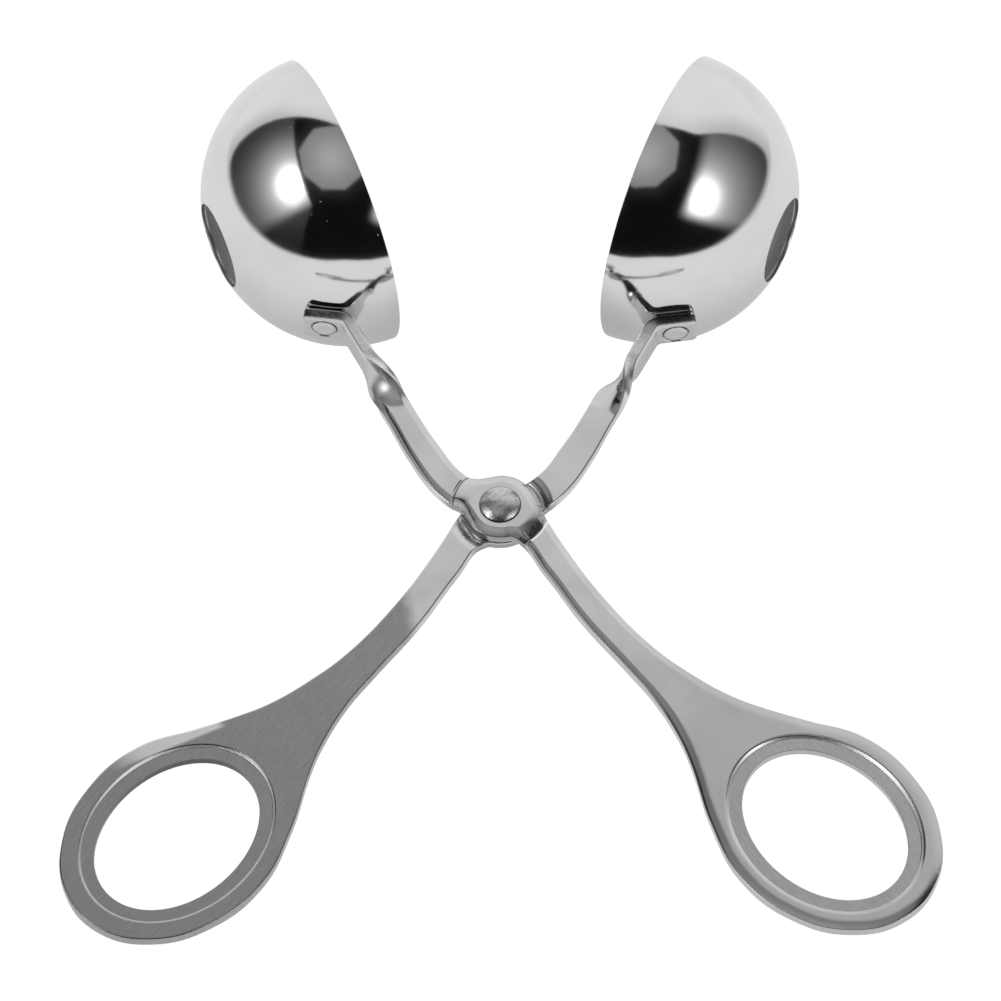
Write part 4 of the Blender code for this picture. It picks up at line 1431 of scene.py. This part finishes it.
def room_light(look, sizes):
    """Brightness of the room in each direction."""
    sweep, near = paper_sweep(look)
    room = overhead_light(look) + sizes.dark
    for light in SIDE_LIGHTS:
        room = room + side_light(look, light, near)
    return room * (1.0 - sweep) + sweep * sizes.pale


def build_world(sizes):
    """Room seen by the steel; the camera itself sees plain white."""
    world = bpy.data.worlds.new("studio_room")
    world.use_nodes = True
    tree = world.node_tree
    background = tree.nodes["Background"]
    start = Signal(tree)
    seen = start.add("ShaderNodeLightPath", output="Is Camera Ray")
    look = split(start.add("ShaderNodeTexCoord", output="Generated"))
    strength = room_light(look, sizes) * (1.0 - seen) + seen
    background.inputs["Color"].default_value = grey(1.0)
    tree.links.new(strength.socket, background.inputs["Strength"])
    bpy.context.scene.world = world


def shade_under_bowls(start):
    """Highest on the table under each bowl and between them, falling to 0 round them."""
    x, y, _ = split(start.add("ShaderNodeTexCoord", output="Object"))
    low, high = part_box("right_bowl")
    spots = (((low[0] + high[0]) / 2.0, (low[1] + high[1]) / 2.0), (0.0, low[1]))
    shade = 0.0
    for middle_x, middle_y in spots:
        across = x.math("ABSOLUTE") - middle_x
        along = y - middle_y
        away = across * across + along * along
        shade = away.decay(UNDER_BOWL_REACH ** 2) + shade
    return shade


def build_table(sizes):
    """White table under the scoop, which takes only a faint shadow."""
    body = bmesh.new()
    bmesh.ops.create_grid(body, x_segments=1, y_segments=1, size=0.5)
    bmesh.ops.scale(body, vec=(sizes.table_width, TABLE_LENGTH, 1.0), verts=body.verts)
    bmesh.ops.translate(body, vec=(0.0, 0.0, -sizes.table_drop), verts=body.verts)
    mesh = bpy.data.meshes.new("table")
    body.to_mesh(mesh)
    body.free()
    table = bpy.data.objects.new("table", mesh)
    bpy.context.scene.collection.objects.link(table)
    material = bpy.data.materials.new("white_table")
    material.use_nodes = True
    tree = material.node_tree
    tree.nodes.clear()
    start = Signal(tree)
    seen = start.add("ShaderNodeLightPath", output="Is Camera Ray")
    level = (1.0 - shade_under_bowls(start) * UNDER_BOWL_SHADE) * sizes.pale
    glow = start.add("ShaderNodeEmission", None, {
        "Color": grey(1.0), "Strength": level + seen * (TABLE_WHITE - level)})
    matt = start.add("ShaderNodeBsdfDiffuse", None, {"Color": grey(TABLE_MATT)})
    mixed = start.add("ShaderNodeMixShader", None, {0: sizes.shadow, 1: glow, 2: matt})
    output = tree.nodes.new("ShaderNodeOutputMaterial")
    tree.links.new(mixed.socket, output.inputs["Surface"])
    mesh.materials.append(material)


# The picture's side and where the pivot lies in it, in pixels, and the camera's
# lens, sensor and clipping distances
PICTURE_SIZE = 1001
PIVOT_PIXEL = (500.34, 511.87)
LENS = 539.5
SENSOR = 36.0
CLIPPING = (0.1, 20.0)


def build_camera(sizes):
    """Long lens above the handles, turned so that the pivot falls on its pixel."""
    direction = Vector((
        math.cos(sizes.elevation) * math.sin(sizes.azimuth),
        -math.cos(sizes.elevation) * math.cos(sizes.azimuth),
        math.sin(sizes.elevation)))
    turn = direction.to_track_quat("Z", "Y").to_matrix().to_4x4()
    turn = turn @ Matrix.Rotation(sizes.roll, 4, "Z")
    pixel = SENSOR / LENS / PICTURE_SIZE * sizes.distance
    middle = PICTURE_SIZE / 2.0
    aim = Vector((middle - PIVOT_PIXEL[0], PIVOT_PIXEL[1] - middle, 0.0)) * pixel
    place = Matrix.Translation(direction * sizes.distance) @ turn @ Matrix.Translation(aim)
    data = bpy.data.cameras.new("camera")
    data.lens = LENS
    data.sensor_width = SENSOR
    data.clip_start, data.clip_end = CLIPPING
    camera = bpy.data.objects.new("camera", data)
    bpy.context.scene.collection.objects.link(camera)
    camera.matrix_world = SCOOP_PLACE @ place
    bpy.context.scene.camera = camera


class SCOOP_OT_studio(bpy.types.Operator):
    """Set up the table, the room's light and the camera"""

    bl_idname = "scoop.studio"
    bl_label = "Studio"

    def execute(self, context):
        sizes = context.scene.scoop_studio
        build_world(sizes)
        build_table(sizes)
        build_camera(sizes)
        context.scene.view_settings.view_transform = "Standard"
        return {"FINISHED"}


class SCOOP_OT_levers(bpy.types.Operator):
    """Make the two stamped levers"""

    bl_idname = "scoop.levers"
    bl_label = "Levers"

    def execute(self, context):
        sizes = context.scene.scoop_levers
        mesh = lever_mesh(sizes)
        polished = lever_steel("upper_lever_steel", sizes.upper_colour,
                               far_share=0.82, brush_share=0.08, roughness=0.09)
        ground = lever_steel("lower_lever_steel", sizes.lower_colour,
                             far_share=0.56, brush_share=1.0, roughness=0.10)
        finished("upper_lever_finish", mesh, UPPER_SIDE, polished,
                 "upper_side", "upper_lever")
        finished("lower_lever_finish", mesh, LOWER_SIDE, ground,
                 "lower_side", "lower_lever")
        return {"FINISHED"}


class SCOOP_OT_bowls(bpy.types.Operator):
    """Make the two drawn bowls"""

    bl_idname = "scoop.bowls"
    bl_label = "Bowls"

    def execute(self, context):
        sizes = context.scene.scoop_bowls
        steel = bowl_steel("bowl_steel", sizes.colour)
        mesh = turned_mesh("bowl", bowl_profile(sizes), sizes.steps, steel)
        seat_pressed(mesh)
        finished("left_bowl_finish", mesh, UPPER_SIDE @ bowl_place(), steel,
                 "upper_side", "left_bowl")
        finished("right_bowl_finish", mesh, LOWER_SIDE @ bowl_place(), steel,
                 "lower_side", "right_bowl")
        return {"FINISHED"}


class SCOOP_OT_rivets(bpy.types.Operator):
    """Make the pivot rivet and the bowls' rivets"""

    bl_idname = "scoop.rivets"
    bl_label = "Rivets"

    def execute(self, context):
        sizes = context.scene.scoop_rivets
        steel = rivet_steel("rivet_steel", sizes.colour)
        pivot = turned_mesh("pivot_rivet", pivot_rivet_profile(), sizes.steps, steel,
                            (sizes.dent_depth, sizes.dent_size))
        small = turned_mesh("bowl_rivet", bowl_rivet_profile(), sizes.steps, steel)
        finished("pivot_rivet_finish", pivot, UPPER_SIDE, steel,
                 "upper_side", "pivot_rivet")
        finished("left_bowl_rivet_finish", small, UPPER_SIDE @ rivet_place(), steel,
                 "upper_side", "left_bowl_rivet")
        finished("right_bowl_rivet_finish", small, LOWER_SIDE @ rivet_place(), steel,
                 "lower_side", "right_bowl_rivet")
        return {"FINISHED"}


class SCOOP_PT_panel(bpy.types.Panel):
    """Pieces of the meatball scoop"""

    bl_idname = "SCOOP_PT_panel"
    bl_label = "Meatball Scoop"
    bl_space_type = "VIEW_3D"
    bl_region_type = "UI"
    bl_category = "Scoop"

    def draw(self, context):
        for operator, group in PIECES:
            settings = getattr(context.scene, group)
            self.layout.operator(operator.bl_idname)
            for name in settings.__annotations__:
                self.layout.prop(settings, name)


GROUPS = {
    "scoop_studio": StudioSettings,
    "scoop_levers": LeverSettings,
    "scoop_bowls": BowlSettings,
    "scoop_rivets": RivetSettings,
}
PIECES = (
    (SCOOP_OT_studio, "scoop_studio"),
    (SCOOP_OT_levers, "scoop_levers"),
    (SCOOP_OT_bowls, "scoop_bowls"),
    (SCOOP_OT_rivets, "scoop_rivets"),
)
CLASSES = tuple(GROUPS.values()) + tuple(operator for operator, _ in PIECES) + (SCOOP_PT_panel,)


def register():
    """Register the classes and hang the settings on the scene."""
    for item in CLASSES:
        bpy.utils.register_class(item)
    for name, group in GROUPS.items():
        setattr(bpy.types.Scene, name, PointerProperty(type=group))


def unregister():
    """Take the settings and the classes away again."""
    for name in GROUPS:
        delattr(bpy.types.Scene, name)
    for item in reversed(CLASSES):
        bpy.utils.unregister_class(item)


def main():
    """Make the whole scene."""
    register()
    bpy.ops.scoop.studio()
    bpy.ops.scoop.levers()
    bpy.ops.scoop.bowls()
    bpy.ops.scoop.rivets()


if __name__ == "__main__":
    main()
